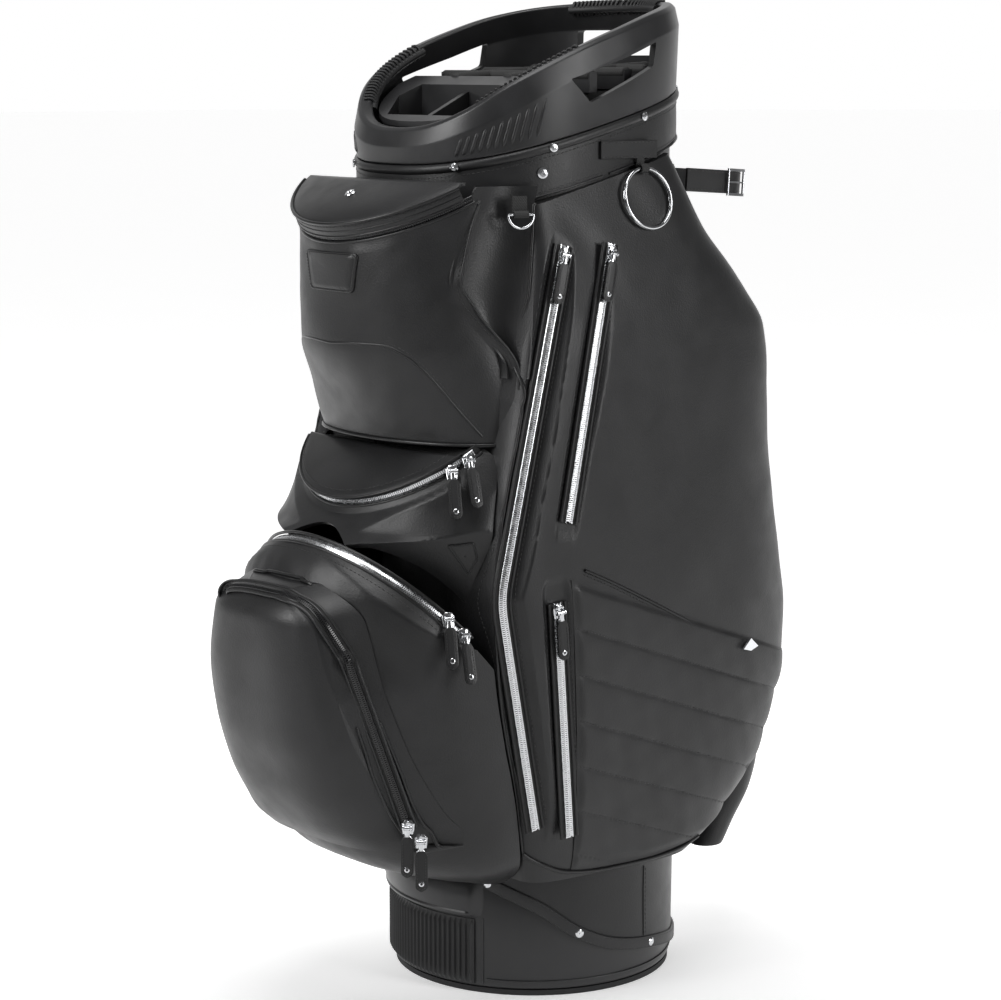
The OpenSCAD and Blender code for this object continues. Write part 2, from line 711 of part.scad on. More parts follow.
module cooler_pocket() {
  w = cooler_wall;
  back = cooler_top(-170) - 1;
  floor_row = cooler_row([524, 124, -197.5], w + 0.8);
  color(softblack) {
    slab(cooler_wall_rows(0), cooler_wall_rows(w));
    translate([0, -167.5, 0])
      rotate([90, 0, 0])
        linear_extrude(3)
          polygon([[-88, 531], [88, 531], [101, 568], [105, 613], [105, back], [-105, back],
                   [-105, 613], [-101, 568]]);
    translate([0, 0, 524.6])
      linear_extrude(w)
        polygon([for (p = floor_row) if (p.y < -171.2) [p.x, p.y]]);
  }
}

module cooler_zip() {
  color(black)
    slab([cooler_edge(-2.6, 6.5), cooler_edge(-2.6, 1)],
         [cooler_edge(-0.7, 6.5), cooler_edge(-0.7, 1)]);
}

lid_hinge_y = -171;
module cooler_lid() {
  c = arc_centre(cooler_arc);
  color(softblack)
    intersection() {
      translate(c)
        rotate([atan(cooler_arc[2]), 0, 0])
          rotate_extrude($fn = 96)
            polygon([[0, 0.6], [122, 0.6], [123.5, 4], [123.5, 18], [121, 23], [112, 27],
                     [90, 30], [0, 30]]);
      translate([-130, -300, 600]) cube([260, 300 + lid_hinge_y - 1, 157]);
    }
}

// Curved patch on the front of the cooler
function label_pt(x, z, d) = [x, -129 - (109 + d) * sqrt(1 - x * x / (123.6 * 123.6)), z];
module label_patch() {
  cols = [for (i = [0:12]) i / 12];
  color(softblack)
    slab([[for (t = cols) label_pt(mix(-34, 31, t), 659, 1.6)],
          [for (t = cols) label_pt(mix(-44, 38, t), 694, 1.6)]],
         [[for (t = cols) label_pt(mix(-34, 31, t), 659, 0.4)],
          [for (t = cols) label_pt(mix(-44, 38, t), 694, 0.4)]]);
}

// Gussets that join the cooler pocket to the body, a little recessed
wing_z = [548, 600, 654, 700, 738];
module cooler_wings() {
  color(softblack)
    for (x = [113.5, -116.5])
      translate([x, 0, 0])
        rotate([90, 0, 90])
          linear_extrude(3)
            polygon(concat([[-167, wing_z[0]]], [for (z = wing_z) [front_edge(z) - 1, z]],
                           [[-167, wing_z[4]]]));
}

// Accessory pocket, between the cooler and the ball pocket
accessory_rows = [[300, 145, -272, 2.1], [393, 145, -272, 2.1], [428, 145, -270, 2.1],
                  [440, 143, -262, 1.9], [450, 142, -251, 1.7], [462, 140, -246, 1.6],
                  [476, 138, -242, 1.55], [500, 134, -241, 1.5], [560, 128, -240, 1.5]];
module accessory_corner() {
  translate([0, -100, 0])
    rotate([90, 0, 0])
      linear_extrude(170)
        polygon([[-92, 530], [-152, 440], [-210, 440], [-210, 610], [-60, 610], [-60, 530]]);
}

module accessory_pocket() {
  color(softblack)
    difference() {
      skin([for (r = accessory_rows)
              bow(r[1], r[2], r[3], r[0], 0, front_edge(min(r[0], 520)))]);
      above(accessory_arc[0], accessory_arc[1], accessory_arc[2]);
      below(ball_arc[0], ball_arc[1] + 1, ball_arc[2]);
      accessory_corner();
      translate([-150, -300, 523.4]) cube(300);
      arc_groove(accessory_arc, accessory_groove, -54, 78);
      arc_groove(ball_arc, ball_groove, -80, 80);
      for (s = [slot_accessory, slot_accessory_b, slot_ball, slot_ball_b]) pull_room(s);
    }
}

// Room for a hanging pull and its slider
module pull_room(s) {
  at_slot(s) translate([-pull_w / 2 - 1.5, -20, -pull_len - 3]) cube([pull_w + 3, 26.8, pull_len + 12]);
}

module accessory_zip() {
  color(silver) arc_band(accessory_arc, 115, 120.5, -5, -0.6, -50, 74);
}

module accessory_lid() {
  c = arc_centre(accessory_arc);
  color(softblack)
    intersection() {
      translate(c)
        rotate([atan(accessory_arc[2]), 0, 0])
          rotate_extrude($fn = 96)
            polygon([[0, 0.6], [119, 0.6], [119.5, 3], [116, 8], [102, 12], [0, 12]]);
      translate([-108, -300, 400]) cube([236, 300 - 171, 118]);
    }
}

// Ball pocket, the largest one at the front
ball_rows = [[114, 96, -152, 2.3], [128, 118, -205, 2.3], [140, 130, -232, 2.3],
             [152, 135, -247, 2.3], [176, 139, -262, 2.3], [250, 143, -288, 2.3],
             [301, 145, -295, 2.25], [320, 145, -297, 2.2], [350, 145, -297.5, 2.1],
             [393, 145, -297, 2.05], [416, 145, -289, 2], [444, 144, -268, 2]];
module ball_solid() {
  skin([for (r = ball_rows) bow(r[1], r[2], r[3], r[0], 0, front_edge(r[0]))]);
}

module ball_pocket() {
  color(softblack)
    difference() {
      ball_solid();
      above(ball_arc[0], ball_arc[1] - 1, ball_arc[2]);
      arc_groove(ball_arc, ball_groove, -80, 80);
      for (s = [slot_ball, slot_ball_b, slot_front, slot_front_b]) pull_room(s);
    }
}

module ball_zip() {
  color(silver) arc_band(ball_arc, 138, 144.5, -2.4, 2.4, -76, 76);
}

// Raised pocket on the front of the ball pocket
panel_rows = [[166, 112, -268], [178, 114, -281], [191, 111, -290], [229, 105, -311],
              [280, 97, -328], [338, 84, -333], [372, 76, -331], [392, 66, -327], [402, 52, -322]];
function ball_front(x, z) =
  let (yf = lookup(z, [for (r = ball_rows) [r[0], r[2]]]),
       rx = lookup(z, [for (r = ball_rows) [r[0], r[1]]]),
       n = lookup(z, [for (r = ball_rows) [r[0], r[3]]]), yc = front_edge(z))
  yc + (yf - yc) * pow(max(0, 1 - pow(abs(x) / rx, n)), 1 / n);
function panel_front(x, yf) =
  -145 + (yf + 145) * pow(max(0, 1 - pow(abs(x) / 121, 3)), 1 / 3);

module front_pocket() {
  cols = [for (i = [0:16]) sin(mix(-90, 90, i / 16))];
  outer = [for (r = panel_rows) [for (s = cols) [s * r[1], panel_front(s * r[1], r[2]), r[0]]]];
  inner = [for (r = panel_rows)
             let (z = r[0] + 6, w = min(r[1] + 17, 132))
             [for (s = cols) [s * w, ball_front(s * w, z) - 2.4 - 4.5 * s * s, z]]];
  color(softblack)
    difference() {
      slab(outer, inner);
      for (s = [slot_front, slot_front_b]) pull_room(s);
      front_channel();
    }
}

zip_front = [[95, -293, 350], [118, -243, 192], 38];
module front_channel() {
  long = norm(zip_front[0] - zip_front[1]);
  on_zip(zip_front)
    translate([-8, -30, -10]) cube([16, 30.3, long + 16]);
}

module front_zip() {
  color(black)
    on_zip(zip_front)
      translate([-5.5, -2, 0]) cube([11, 2, norm(zip_front[0] - zip_front[1])]);
}

// ---- rings, straps and small parts -------------------------------------------------------
ring_hang = [134, 16, 765];
ring_lean = 14;
module towel_ring() {
  r = (ring_d - ring_wire) / 2;
  color(silver)
    translate(ring_hang)
      rotate([0, 180 - ring_lean, 0])
        translate([0, 0, r])
          rotate([0, 90, 0])
            rotate_extrude($fn = 64)
              translate([r, 0])
                union() {
                  translate([0, -0.8]) circle(d = ring_wire, $fn = 20);
                  translate([0, 0.8]) circle(d = ring_wire, $fn = 20);
                }
}

d_ring_at = [129, -125, 728];
module d_ring() {
  color(silver)
    translate(d_ring_at)
      rotate([0, 0, -18])
        rotate([0, -8, 0]) {
          rotate([90, 0, 0]) translate([0, 0, -12]) cylinder(r = 1.4, h = 24, $fn = 20);
          rotate([0, 90, 0])
            rotate([0, 0, -90])
              rotate_extrude(angle = 180, $fn = 40) translate([12, 0]) circle(r = 1.4, $fn = 20);
        }
}

// Loop of webbing that holds a ring's bar, local +X outwards
module web_loop(width, hole, up) {
  difference() {
    union() {
      rotate([90, 0, 0])
        translate([0, 0, -width / 2]) cylinder(r = hole + 1.6, h = width, $fn = 24);
      translate([-hole - 1.6, -width / 2, 0]) cube([1.6, width, up]);
    }
    rotate([90, 0, 0]) translate([0, 0, -width]) cylinder(r = hole, h = 2 * width, $fn = 24);
  }
}

module webbing_tabs() {
  color(softblack) {
    translate(ring_hang) web_loop(9, 2.9, 24);
    translate([ring_hang.x - 4.5, -32, 774]) cube([1.6, 68, 16]);
    translate(d_ring_at) rotate([0, 0, -18]) web_loop(14, 1.75, 16);
  }
}

module umbrella_strap() {
  color(softblack)
    translate([0, 128, 750])
      rotate([-4, 0, 0])
        difference() {
          union() {
            translate([30, 0, -11]) cube([46, 60, 22]);
            translate([53, 60, -11]) cylinder(r = 23, h = 22, $fn = 48);
          }
          translate([32.6, -1, -12]) cube([40.8, 61, 24]);
          translate([53, 60, -12]) cylinder(r = 20.4, h = 24, $fn = 48);
        }
}

buckle_pin = [78.4, 179, 746.4];
module umbrella_buckle() {
  color(silver)
    translate(buckle_pin)
      rotate([-4, 0, 0]) {
        translate([0, 0, -13]) cylinder(r = 1.3, h = 26, $fn = 20);
        for (z = [-13, 13 - 2.6]) translate([-1.3, 0, z]) cube([2.6, 20, 2.6]);
        translate([0, 20, -13]) cylinder(r = 1.3, h = 26, $fn = 20);
        translate([-0.8, 0, -0.8]) cube([1.6, 20, 1.6]);
      }
}

// Slanted open sleeve for the umbrella's point, low on the back
sleeve_rows = [[84, 44, 192, 17], [165, 44, 226, 26], [250, 44, 232, 28]];
function sleeve_ring(r, d) = [for (i = [0:19]) let (a = i * 18)
  [r[1] + (r[3] - d) * cos(a), r[2] + (r[3] - d) * sin(a), r[0]]];
module umbrella_sleeve() {
  color(softblack) {
    difference() {
      skin([for (r = sleeve_rows) sleeve_ring(r, 0)]);
      skin([for (r = [[90, 44, 194.5, 17.6], [165, 44, 226, 26], [260, 44, 232.7, 28.2]])
              sleeve_ring(r, 2.5)]);
    }
    translate([42.5, 0, 0])
      rotate([90, 0, 90])
        linear_extrude(3)
          polygon([[134, 116], [176.2, 101], [200, 165], [204.8, 240], [134, 240]]);
  }
}

// Shoulder strap: a padded bow behind the bag between two anchors
strap_x = 5;
strap_path = [[745, 133], [722, 165], [712, 183], [690, 190], [620, 200], [520, 202],
              [430, 192], [370, 165], [340, 137]];
strap_half = [11, 13, 15, 24, 27, 27, 25, 14, 11];
strap_thick = [3, 3, 5, 11, 13, 13, 11, 3, 3];
module shoulder_strap() {
  function at(i, s, d) = [strap_x + s * strap_half[i], strap_path[i][1] + d, strap_path[i][0]];
  rows = [for (i = [0:8]) 8 - i];
  color(softblack)
    slab([for (i = rows) [for (s = [1, 0, -1]) at(i, s, strap_thick[i])]],
         [for (i = rows) [for (s = [1, 0, -1]) at(i, s, 0)]]);
}

module strap_hardware() {
  color(silver)
    for (z = [752, 326])
      translate([strap_x, tube_pt(90, z, 0).y + 1.4, z])
        translate([-15, -0.6, 0]) cube([30, 3, 6]);
}

module emblem() {
  color(silver)
    multmatrix(pose([166.5, 128, 316], [0, 0, 1], facing(97)))
      rotate([90, 0, 0]) linear_extrude(2) polygon([[-11, -3], [0, -6], [11, -3], [0, 6]]);
}

base_cup();
base_grip_panel();
base_sole();
base_skirt();
base_trim();
rivets();
body_shell();
stays();
divider_top();
divider_bars();
divider_panels();
cuff();
cuff_grips();
collar_band();
collar_piping();
snap_sockets();
cooler_pocket();
cooler_lid();
cooler_zip();
label_patch();
cooler_wings();
accessory_pocket();
accessory_lid();
accessory_zip();
accessory_slider();
accessory_pull();
accessory_pull_b();
ball_pocket();
ball_zip();
ball_slider();
ball_pull();
ball_pull_b();
front_pocket();
front_zip();
front_slider();
front_pull();
front_pull_b();
parked_sliders();
side_pocket_right();
side_pocket_left();
quilt_panels();
side_zips();
long_slider_right();
long_pull_right();
upper_slider();
upper_pull();
lower_slider();
lower_pull();
long_slider_left();
long_pull_left();
webbing_tabs();
towel_ring();
d_ring();
umbrella_strap();
umbrella_buckle();
umbrella_sleeve();
shoulder_strap();
strap_hardware();
emblem();
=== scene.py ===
import bpy, bmesh, json, math
import numpy as np
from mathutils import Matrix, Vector
from mathutils.bvhtree import BVHTree

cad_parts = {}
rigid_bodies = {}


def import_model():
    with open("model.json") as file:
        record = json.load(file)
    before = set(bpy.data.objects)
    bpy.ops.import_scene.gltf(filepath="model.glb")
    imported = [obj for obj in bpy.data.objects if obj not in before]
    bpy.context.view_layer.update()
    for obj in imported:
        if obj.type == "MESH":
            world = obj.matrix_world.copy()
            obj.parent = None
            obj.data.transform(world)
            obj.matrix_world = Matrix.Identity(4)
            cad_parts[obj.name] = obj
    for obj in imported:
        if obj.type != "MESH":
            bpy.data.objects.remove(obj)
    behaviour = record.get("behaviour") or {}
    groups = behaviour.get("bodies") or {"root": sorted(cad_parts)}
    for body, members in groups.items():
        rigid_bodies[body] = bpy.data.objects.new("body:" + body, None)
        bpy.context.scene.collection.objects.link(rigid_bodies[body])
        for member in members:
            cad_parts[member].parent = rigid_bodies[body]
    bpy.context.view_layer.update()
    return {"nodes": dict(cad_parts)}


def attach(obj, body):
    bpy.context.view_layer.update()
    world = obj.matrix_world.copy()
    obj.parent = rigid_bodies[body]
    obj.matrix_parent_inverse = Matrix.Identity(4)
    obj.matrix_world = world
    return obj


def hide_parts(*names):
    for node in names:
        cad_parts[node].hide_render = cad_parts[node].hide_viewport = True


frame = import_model()
MM = 0.001
SIDES = ((1, "right"), (-1, "left"))
RADIAL = 24      # points round an eyelet, a rivet or a wire eye


# ---- maths: every length below is in millimetres until a mesh is made --------------------
def smooth(rows):
    """Monotone cubic through a table of (where, value)."""
    x, y = np.array(rows, float).T
    h, m = np.diff(x), np.zeros(len(x))
    d = np.diff(y) / h
    m[0], m[-1] = d[0], d[-1]
    for i in range(1, len(x) - 1):
        if d[i - 1] * d[i] > 0:
            w1, w2 = 2 * h[i] + h[i - 1], h[i] + 2 * h[i - 1]
            m[i] = (w1 + w2) / (w1 / d[i - 1] + w2 / d[i])

    def f(t):
        t = np.clip(np.asarray(t, float), x[0], x[-1])
        i = np.clip(np.searchsorted(x, t, side="right") - 1, 0, len(x) - 2)
        s = (t - x[i]) / h[i]
        return ((2 * s**3 - 3 * s**2 + 1) * y[i] + (s**3 - 2 * s**2 + s) * h[i] * m[i]
                + (3 * s**2 - 2 * s**3) * y[i + 1] + (s**3 - s**2) * h[i] * m[i + 1])
    return f


def straight(rows):
    x, y = np.array(rows, float).T
    return lambda t: np.interp(t, x, y)


def oval(a, rx, ry, n):
    a = np.radians(a)
    c, s = np.cos(a), np.sin(a)
    return rx * np.sign(c) * np.abs(c)**(2 / n), ry * np.sign(s) * np.abs(s)**(2 / n)


def unit(v):
    v = np.asarray(v, float)
    return v / np.maximum(np.linalg.norm(v, axis=-1, keepdims=True), 1e-12)


def xyz(x, y, z):
    return np.stack(np.broadcast_arrays(x, y, z), -1).astype(float)


def ease(t):
    t = np.clip(t, 0, 1)
    return t * t * (3 - 2 * t)


def waves(P, seed, length, amp, stretch=(1, 1, 1), count=7):
    """Soft undulation, the same on every run."""
    rng, out = np.random.default_rng(seed), 0
    for _ in range(count):
        d = unit(rng.normal(size=3) * stretch)
        w = 2 * np.pi / (length * rng.uniform(.6, 1.6))
        out = out + np.sin(P @ d * w + rng.uniform(0, 6.28)) * rng.uniform(.5, 1)
    return amp * out / count**.5


def lengths(C):
    """Distance along a line at each of its points."""
    return np.r_[0, np.cumsum(np.linalg.norm(np.diff(C, axis=0), axis=1))]


def at_lengths(t, s, A):
    """Points or vectors A, known at s, read off at t."""
    return np.stack([np.interp(t, s, A[:, k]) for k in range(3)], -1)


def soften(passes, *rows):
    """Rows of values or points, smoothed in place with both ends held."""
    for _ in range(passes):
        for q in rows:
            q[1:-1] = (q[:-2] + q[2:] + 2 * q[1:-1]) / 4


def settle(passes, C, N):
    """A line and the normals along it, smoothed in place together."""
    for _ in range(passes):
        soften(1, C)
        N[1:-1] = unit(N[:-2] + N[2:] + 2 * N[1:-1])


def spline(points, step=2.0):
    """Smooth line through a few points, with its own points a step apart."""
    p = np.array(points, float)
    s = lengths(p)
    t = np.linspace(s[0], s[-1], max(3, int((s[-1] - s[0]) / .5)))
    q = np.stack([smooth(np.c_[s, p[:, k]])(t) for k in range(3)], -1)
    soften(12, q)
    return resample(q, step)


def resample(q, step):
    s = lengths(q)
    return at_lengths(np.linspace(0, s[-1], max(2, int(round(s[-1] / step)) + 1)), s, q)


# ---- meshes ------------------------------------------------------------------------------
def put(name, V, F, mat, body="bag", sharp=38):
    """Piece from a mesh in millimetres, with its look and the body that it rides."""
    me = bpy.data.meshes.new(name)
    me.from_pydata((np.asarray(V, float) * MM).tolist(), [], [list(map(int, f)) for f in F])
    bm = bmesh.new()
    bm.from_mesh(me)
    bmesh.ops.recalc_face_normals(bm, faces=bm.faces)
    bm.to_mesh(me)
    bm.free()
    me.polygons.foreach_set("use_smooth", [True] * len(me.polygons))
    if sharp:
        me.set_sharp_from_angle(angle=math.radians(sharp))
    ob = bpy.data.objects.new(name, me)
    bpy.context.scene.collection.objects.link(ob)
    me.materials.append(mat[0])
    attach(ob, body)
    return ob


def faces_of(m, n, wrap_m=False, wrap_n=False, off=0):
    j, i = np.meshgrid(np.arange(m if wrap_m else m - 1), np.arange(n if wrap_n else n - 1),
                       indexing="ij")
    a = j * n + i
    b = j * n + (i + 1) % n
    c = (j + 1) % m * n + (i + 1) % n
    d = (j + 1) % m * n + i
    return (np.stack([a, b, c, d], -1).reshape(-1, 4) + off).tolist()


def capped(m, n):
    """Faces of a stack of m closed rings of n points, with both ends filled."""
    return faces_of(m, n, wrap_n=True) + [list(range(n)), list(range((m - 1) * n, m * n))]


def between(P, Q, wrap=False):
    """Closed wall between two grids; wrap closes each row on itself."""
    m, n = P.shape[:2]
    q = m * n
    V = np.vstack([P.reshape(-1, 3), Q.reshape(-1, 3)])
    F = faces_of(m, n, wrap_n=wrap) + faces_of(m, n, wrap_n=wrap, off=q)
    for j in (0, m - 1):
        for i in range(n if wrap else n - 1):
            a, b = j * n + i, j * n + (i + 1) % n
            F.append([a, b, q + b, q + a])
    if not wrap:
        for i in (0, n - 1):
            for j in range(m - 1):
                a, b = j * n + i, (j + 1) * n + i
                F.append([a, b, q + b, q + a])
    return V, F


def normals(P, wrap=False):
    du = np.gradient(P, axis=0)
    if wrap:
        dv = (np.roll(P, -1, 1) - np.roll(P, 1, 1)) / 2
    else:
        dv = np.gradient(P, axis=1)
    return unit(np.cross(dv, du))


def normals_to(P, i, j, way):
    """Normals of a grid, turned so that the one at row i, column j faces a given way."""
    N = normals(P)
    return N if N[i, j] @ way > 0 else -N


def sheet_of(P, t, wrap=False, out=None):
    """Closed sheet: P is its outside, away from the point out, and the inside is t further in."""
    N = normals(P, wrap)
    if out is not None:
        side = np.sign(np.sum(N * (P - np.asarray(out, float)), -1).sum())
        N = N * (side if side else 1)
    return between(P, P - N * t, wrap)


def frames(C, N, closed=False):
    T = (np.roll(C, -1, 0) - np.roll(C, 1, 0)) if closed else np.gradient(C, axis=0)
    T = unit(T)
    B = unit(np.cross(T, N))
    return T, B, np.cross(B, T)


def swept(C, N, prof, closed=False):
    """Sweep of an outline of (across, out) points, or one outline for each point."""
    C, N = np.asarray(C, float), np.broadcast_to(np.asarray(N, float), np.shape(C))
    T, B, M = frames(C, N, closed)
    prof = np.asarray(prof, float)
    if prof.ndim == 2:
        prof = np.broadcast_to(prof, (len(C),) + prof.shape)
    V = C[:, None] + prof[..., :1] * B[:, None] + prof[..., 1:] * M[:, None]
    k, p = V.shape[:2]
    F = faces_of(k, p, wrap_m=True, wrap_n=True) if closed else capped(k, p)
    return V.reshape(-1, 3), F


def round_prof(r, n=10, sy=1.0, lift=0.0):
    a = np.arange(n) * 2 * np.pi / n
    return np.c_[r * np.cos(a), r * sy * np.sin(a) + lift]


def flat_prof(w, lo, hi, crown=0.0, r=0.6):
    """Strap or tape outline: w wide, from lo to hi out, with rounded upper corners."""
    x = np.linspace(-w / 2 + r, w / 2 - r, 7)
    top = np.c_[x, hi + crown * (1 - (2 * x / w)**2)]
    return np.vstack([[[-w / 2, lo]], [[-w / 2, hi - r]], top, [[w / 2, hi - r]], [[w / 2, lo]]])


def join(parts):
    V, F, k = [], [], 0
    for v, f in parts:
        V.append(v)
        F += [[i + k for i in x] for x in f]
        k += len(v)
    return np.vstack(V), F


def along(C, N, pitch, shape, start=0.0):
    """Copies of a small closed mesh, (vertices, faces) in (along, across, out), set at a pitch."""
    s = lengths(C)
    t = np.arange(start + pitch / 2, s[-1] - pitch / 4, pitch)
    P = at_lengths(t, s, C)
    at = [unit(at_lengths(t, s, A)) for A in frames(C, N)]
    v, f = shape
    V = P[:, None] + sum(v[None, :, k:k + 1] * at[k][:, None] for k in range(3))
    F = (np.arange(len(t))[:, None, None] * len(v)).tolist()
    faces = [[i + b[0][0] for i in x] for b in F for x in f]
    return V.reshape(-1, 3), faces


def pill(length, width, height, sink=0.15):
    """One stitch: a small rounded thread."""
    rings = []
    for x, k in ((-.5, .35), (-.3, 1), (.3, 1), (.5, .35)):
        a = np.arange(6) * np.pi / 3
        rings.append(xyz(x * length, width / 2 * k * np.cos(a),
                         height * k * (np.sin(a) + .5) - sink))
    return np.vstack(rings), capped(4, 6)


def extruded(outline, axis, lo, hi):
    """Outline in the plane across an axis, run from lo to hi along that axis."""
    n = len(outline)
    V = np.zeros((2 * n, 3))
    V[:n, axis], V[n:, axis] = lo, hi
    V[:, [k for k in range(3) if k != axis]] = np.vstack([outline, outline])
    return V, capped(2, n)


def block(x0, x1, y0, y1, z0, z1):
    V = np.array([[x, y, z] for x in (x0, x1) for y in (y0, y1) for z in (z0, z1)], float)
    return V, [[0, 1, 3, 2], [4, 6, 7, 5], [0, 4, 5, 1], [2, 3, 7, 6], [0, 2, 6, 4], [1, 5, 7, 3]]


class Skin:
    """Surface that trims, seams and stitches are laid on."""
    def __init__(self, *obs):
        V, F, k = [], [], 0
        for ob in obs:
            v = np.array([p.co for p in ob.data.vertices]) / MM
            V += v.tolist()
            F += [[i + k for i in p.vertices] for p in ob.data.polygons]
            k += len(v)
        self.tree = BVHTree.FromPolygons(V, F)

    def lay(self, points, step=2.0, lift=0.0, out=None, curve=True):
        """Line through points, dropped on the surface along out or at its nearest point."""
        C = spline(points, step) if curve else resample(np.array(points, float), step)
        N = []
        for i, p in enumerate(C):
            hit = None
            if out is not None:
                o = unit(np.asarray(out, float))
                hit = self.tree.ray_cast(Vector(p + o * 40), Vector(-o), 90)
            if hit is None or hit[0] is None:
                hit = self.tree.find_nearest(Vector(p))
            C[i] = hit[0]
            N.append(np.array(hit[1]))
        N = np.array(N)
        settle(3, C, N)
        return C + lift * N, N


# ---- materials ---------------------------------------------------------------------------
def shader(name):
    m = bpy.data.materials.new(name)
    m.use_nodes = True
    nt = m.node_tree
    return m, nt, nt.nodes["Principled BSDF"], nt.nodes.new("ShaderNodeTexCoord").outputs["Object"]


def tex(nt, kind, where, **values):
    n = nt.nodes.new(kind)
    for k, v in values.items():
        if k in n.inputs:
            n.inputs[k].default_value = v
        else:
            setattr(n, k, v)
    nt.links.new(where, n.inputs["Vector"])
    return n


def ramp(nt, value, stops):
    n = nt.nodes.new("ShaderNodeValToRGB")
    el = n.color_ramp.elements
    while len(el) < len(stops):
        el.new(.5)
    for e, (p, c) in zip(el, stops):
        e.position = p
        e.color = (c, c, c, 1) if isinstance(c, float) else (*c, 1)
    nt.links.new(value, n.inputs[0])
    return n.outputs["Color"]


def bump(nt, b, layers):
    """Chain of bumps: (height socket, strength, distance in metres)."""
    last = None
    for h, strength, dist in layers:
        n = nt.nodes.new("ShaderNodeBump")
        n.inputs["Strength"].default_value = strength
        n.inputs["Distance"].default_value = dist
        nt.links.new(h, n.inputs["Height"])
        if last:
            nt.links.new(last, n.inputs["Normal"])
        last = n.outputs["Normal"]
    nt.links.new(last, b.inputs["Normal"])


def leather(name, slot, dark=.010, pale=.017, rough=(.34, .48), grain=.22, scale=620.):
    m, nt, b, at = shader(name)
    cells = tex(nt, "ShaderNodeTexVoronoi", at, Scale=scale, feature="SMOOTH_F1", Smoothness=.35)
    fine = tex(nt, "ShaderNodeTexNoise", at, Scale=2400., Detail=3.)
    soft = tex(nt, "ShaderNodeTexNoise", at, Scale=9., Detail=3.)
    patch = tex(nt, "ShaderNodeTexNoise", at, Scale=38., Detail=5., Roughness=.6)
    nt.links.new(ramp(nt, soft.outputs[0], [(.3, (dark, dark, dark * 1.03)),
                                            (.7, (pale, pale, pale * 1.05))]), b.inputs["Base Color"])
    nt.links.new(ramp(nt, patch.outputs[0], [(.25, rough[0]), (.75, rough[1])]), b.inputs["Roughness"])
    bump(nt, b, [(soft.outputs[0], .10, .004), (cells.outputs["Distance"], grain, .00045),
                 (fine.outputs[0], .10, .00012)])
    b.inputs["Specular IOR Level"].default_value = .42
    return m, slot


def plastic(name, slot, colour=.014, rough=(.30, .42), grain=.10):
    m, nt, b, at = shader(name)
    fine = tex(nt, "ShaderNodeTexNoise", at, Scale=1900., Detail=4.)
    soft = tex(nt, "ShaderNodeTexNoise", at, Scale=22., Detail=4.)
    nt.links.new(ramp(nt, soft.outputs[0], [(.3, (colour, colour, colour * 1.04)),
                                            (.75, (colour * 1.5, colour * 1.5, colour * 1.6))]),
                 b.inputs["Base Color"])
    nt.links.new(ramp(nt, soft.outputs[0], [(.3, rough[0]), (.7, rough[1])]), b.inputs["Roughness"])
    bump(nt, b, [(fine.outputs[0], grain, .0003)])
    return m, slot


def metal(name, slot, colour=(.74, .75, .77), rough=(.10, .24)):
    m, nt, b, at = shader(name)
    soft = tex(nt, "ShaderNodeTexNoise", at, Scale=140., Detail=6.)
    nt.links.new(ramp(nt, soft.outputs[0], [(.35, rough[0]), (.75, rough[1])]), b.inputs["Roughness"])
    nt.links.new(ramp(nt, soft.outputs[0], [(.2, tuple(c * .88 for c in colour)), (.8, colour)]),
                 b.inputs["Base Color"])
    bump(nt, b, [(soft.outputs[0], .05, .0002)])
    b.inputs["Metallic"].default_value = 1.0
    return m, slot


def weave(name, slot, colour=.013, pitch=900., rough=.75, strength=.5):
    m, nt, b, at = shader(name)
    w1 = tex(nt, "ShaderNodeTexWave", at, Scale=pitch / 3.1, bands_direction="Z", Distortion=.6)
    w2 = tex(nt, "ShaderNodeTexWave", at, Scale=pitch / 3.1, bands_direction="DIAGONAL", Distortion=.6)
    mixed = nt.nodes.new("ShaderNodeMath")
    mixed.operation = "MULTIPLY"
    nt.links.new(w1.outputs["Fac"], mixed.inputs[0])
    nt.links.new(w2.outputs["Fac"], mixed.inputs[1])
    nt.links.new(ramp(nt, mixed.outputs[0], [(.0, (colour * .6,) * 3), (.6, (colour * 1.5,) * 3)]),
                 b.inputs["Base Color"])
    bump(nt, b, [(mixed.outputs[0], strength, .0004)])
    b.inputs["Roughness"].default_value = rough
    return m, slot


LEATHER = leather("leatherette", "leatherette")
QUILT = leather("quilted_leatherette", "quilted_leatherette", rough=(.36, .5))
PIPING = leather("piping", "piping", dark=.008, pale=.013, rough=(.28, .38), grain=.12, scale=900.)
TAB = leather("pull_leather", "pull_leather", dark=.009, pale=.014, rough=(.36, .46), grain=.15)
THREAD = weave("thread", "piping", colour=.03, pitch=2600., rough=.6)
MOULD = plastic("moulded_plastic", "moulded_plastic")
GRIP = plastic("grip_plastic", "moulded_plastic", colour=.009, rough=(.45, .6), grain=.2)
RUBBER = plastic("sole_rubber", "sole_rubber", colour=.012, rough=(.7, .85), grain=.3)
STAY = plastic("stay_plastic", "stay_plastic", colour=.03, rough=(.4, .5))
FABRIC = weave("divider_fabric", "divider_fabric", colour=.02, pitch=700.)
TAPE = weave("zip_tape", "zip_tape", colour=.010, pitch=1500.)
CHAIN = metal("zip_chain", "zip_chain", colour=(.86, .87, .89), rough=(.22, .34))
BLACKCHAIN = plastic("black_chain", "zip_chain", colour=.012, rough=(.22, .3))
CHROME = metal("chrome", "chrome")


# ---- trims -------------------------------------------------------------------------------
def piping(name, C, N, r=1.6, body="bag", closed=False, mat=None):
    return put(name, *swept(C, N, round_prof(r, 10, 1.0, r * .35), closed), mat or PIPING, body)


def stitch(name, C, N, side=0.0, body="bag", pitch=4.4, lift=0.0, width=.8):
    T, B, M = frames(C, N)
    C = C + B * side + M * lift
    return put(name, *along(C, N, pitch, pill(pitch * .66, width, .38)), THREAD, body, sharp=0)


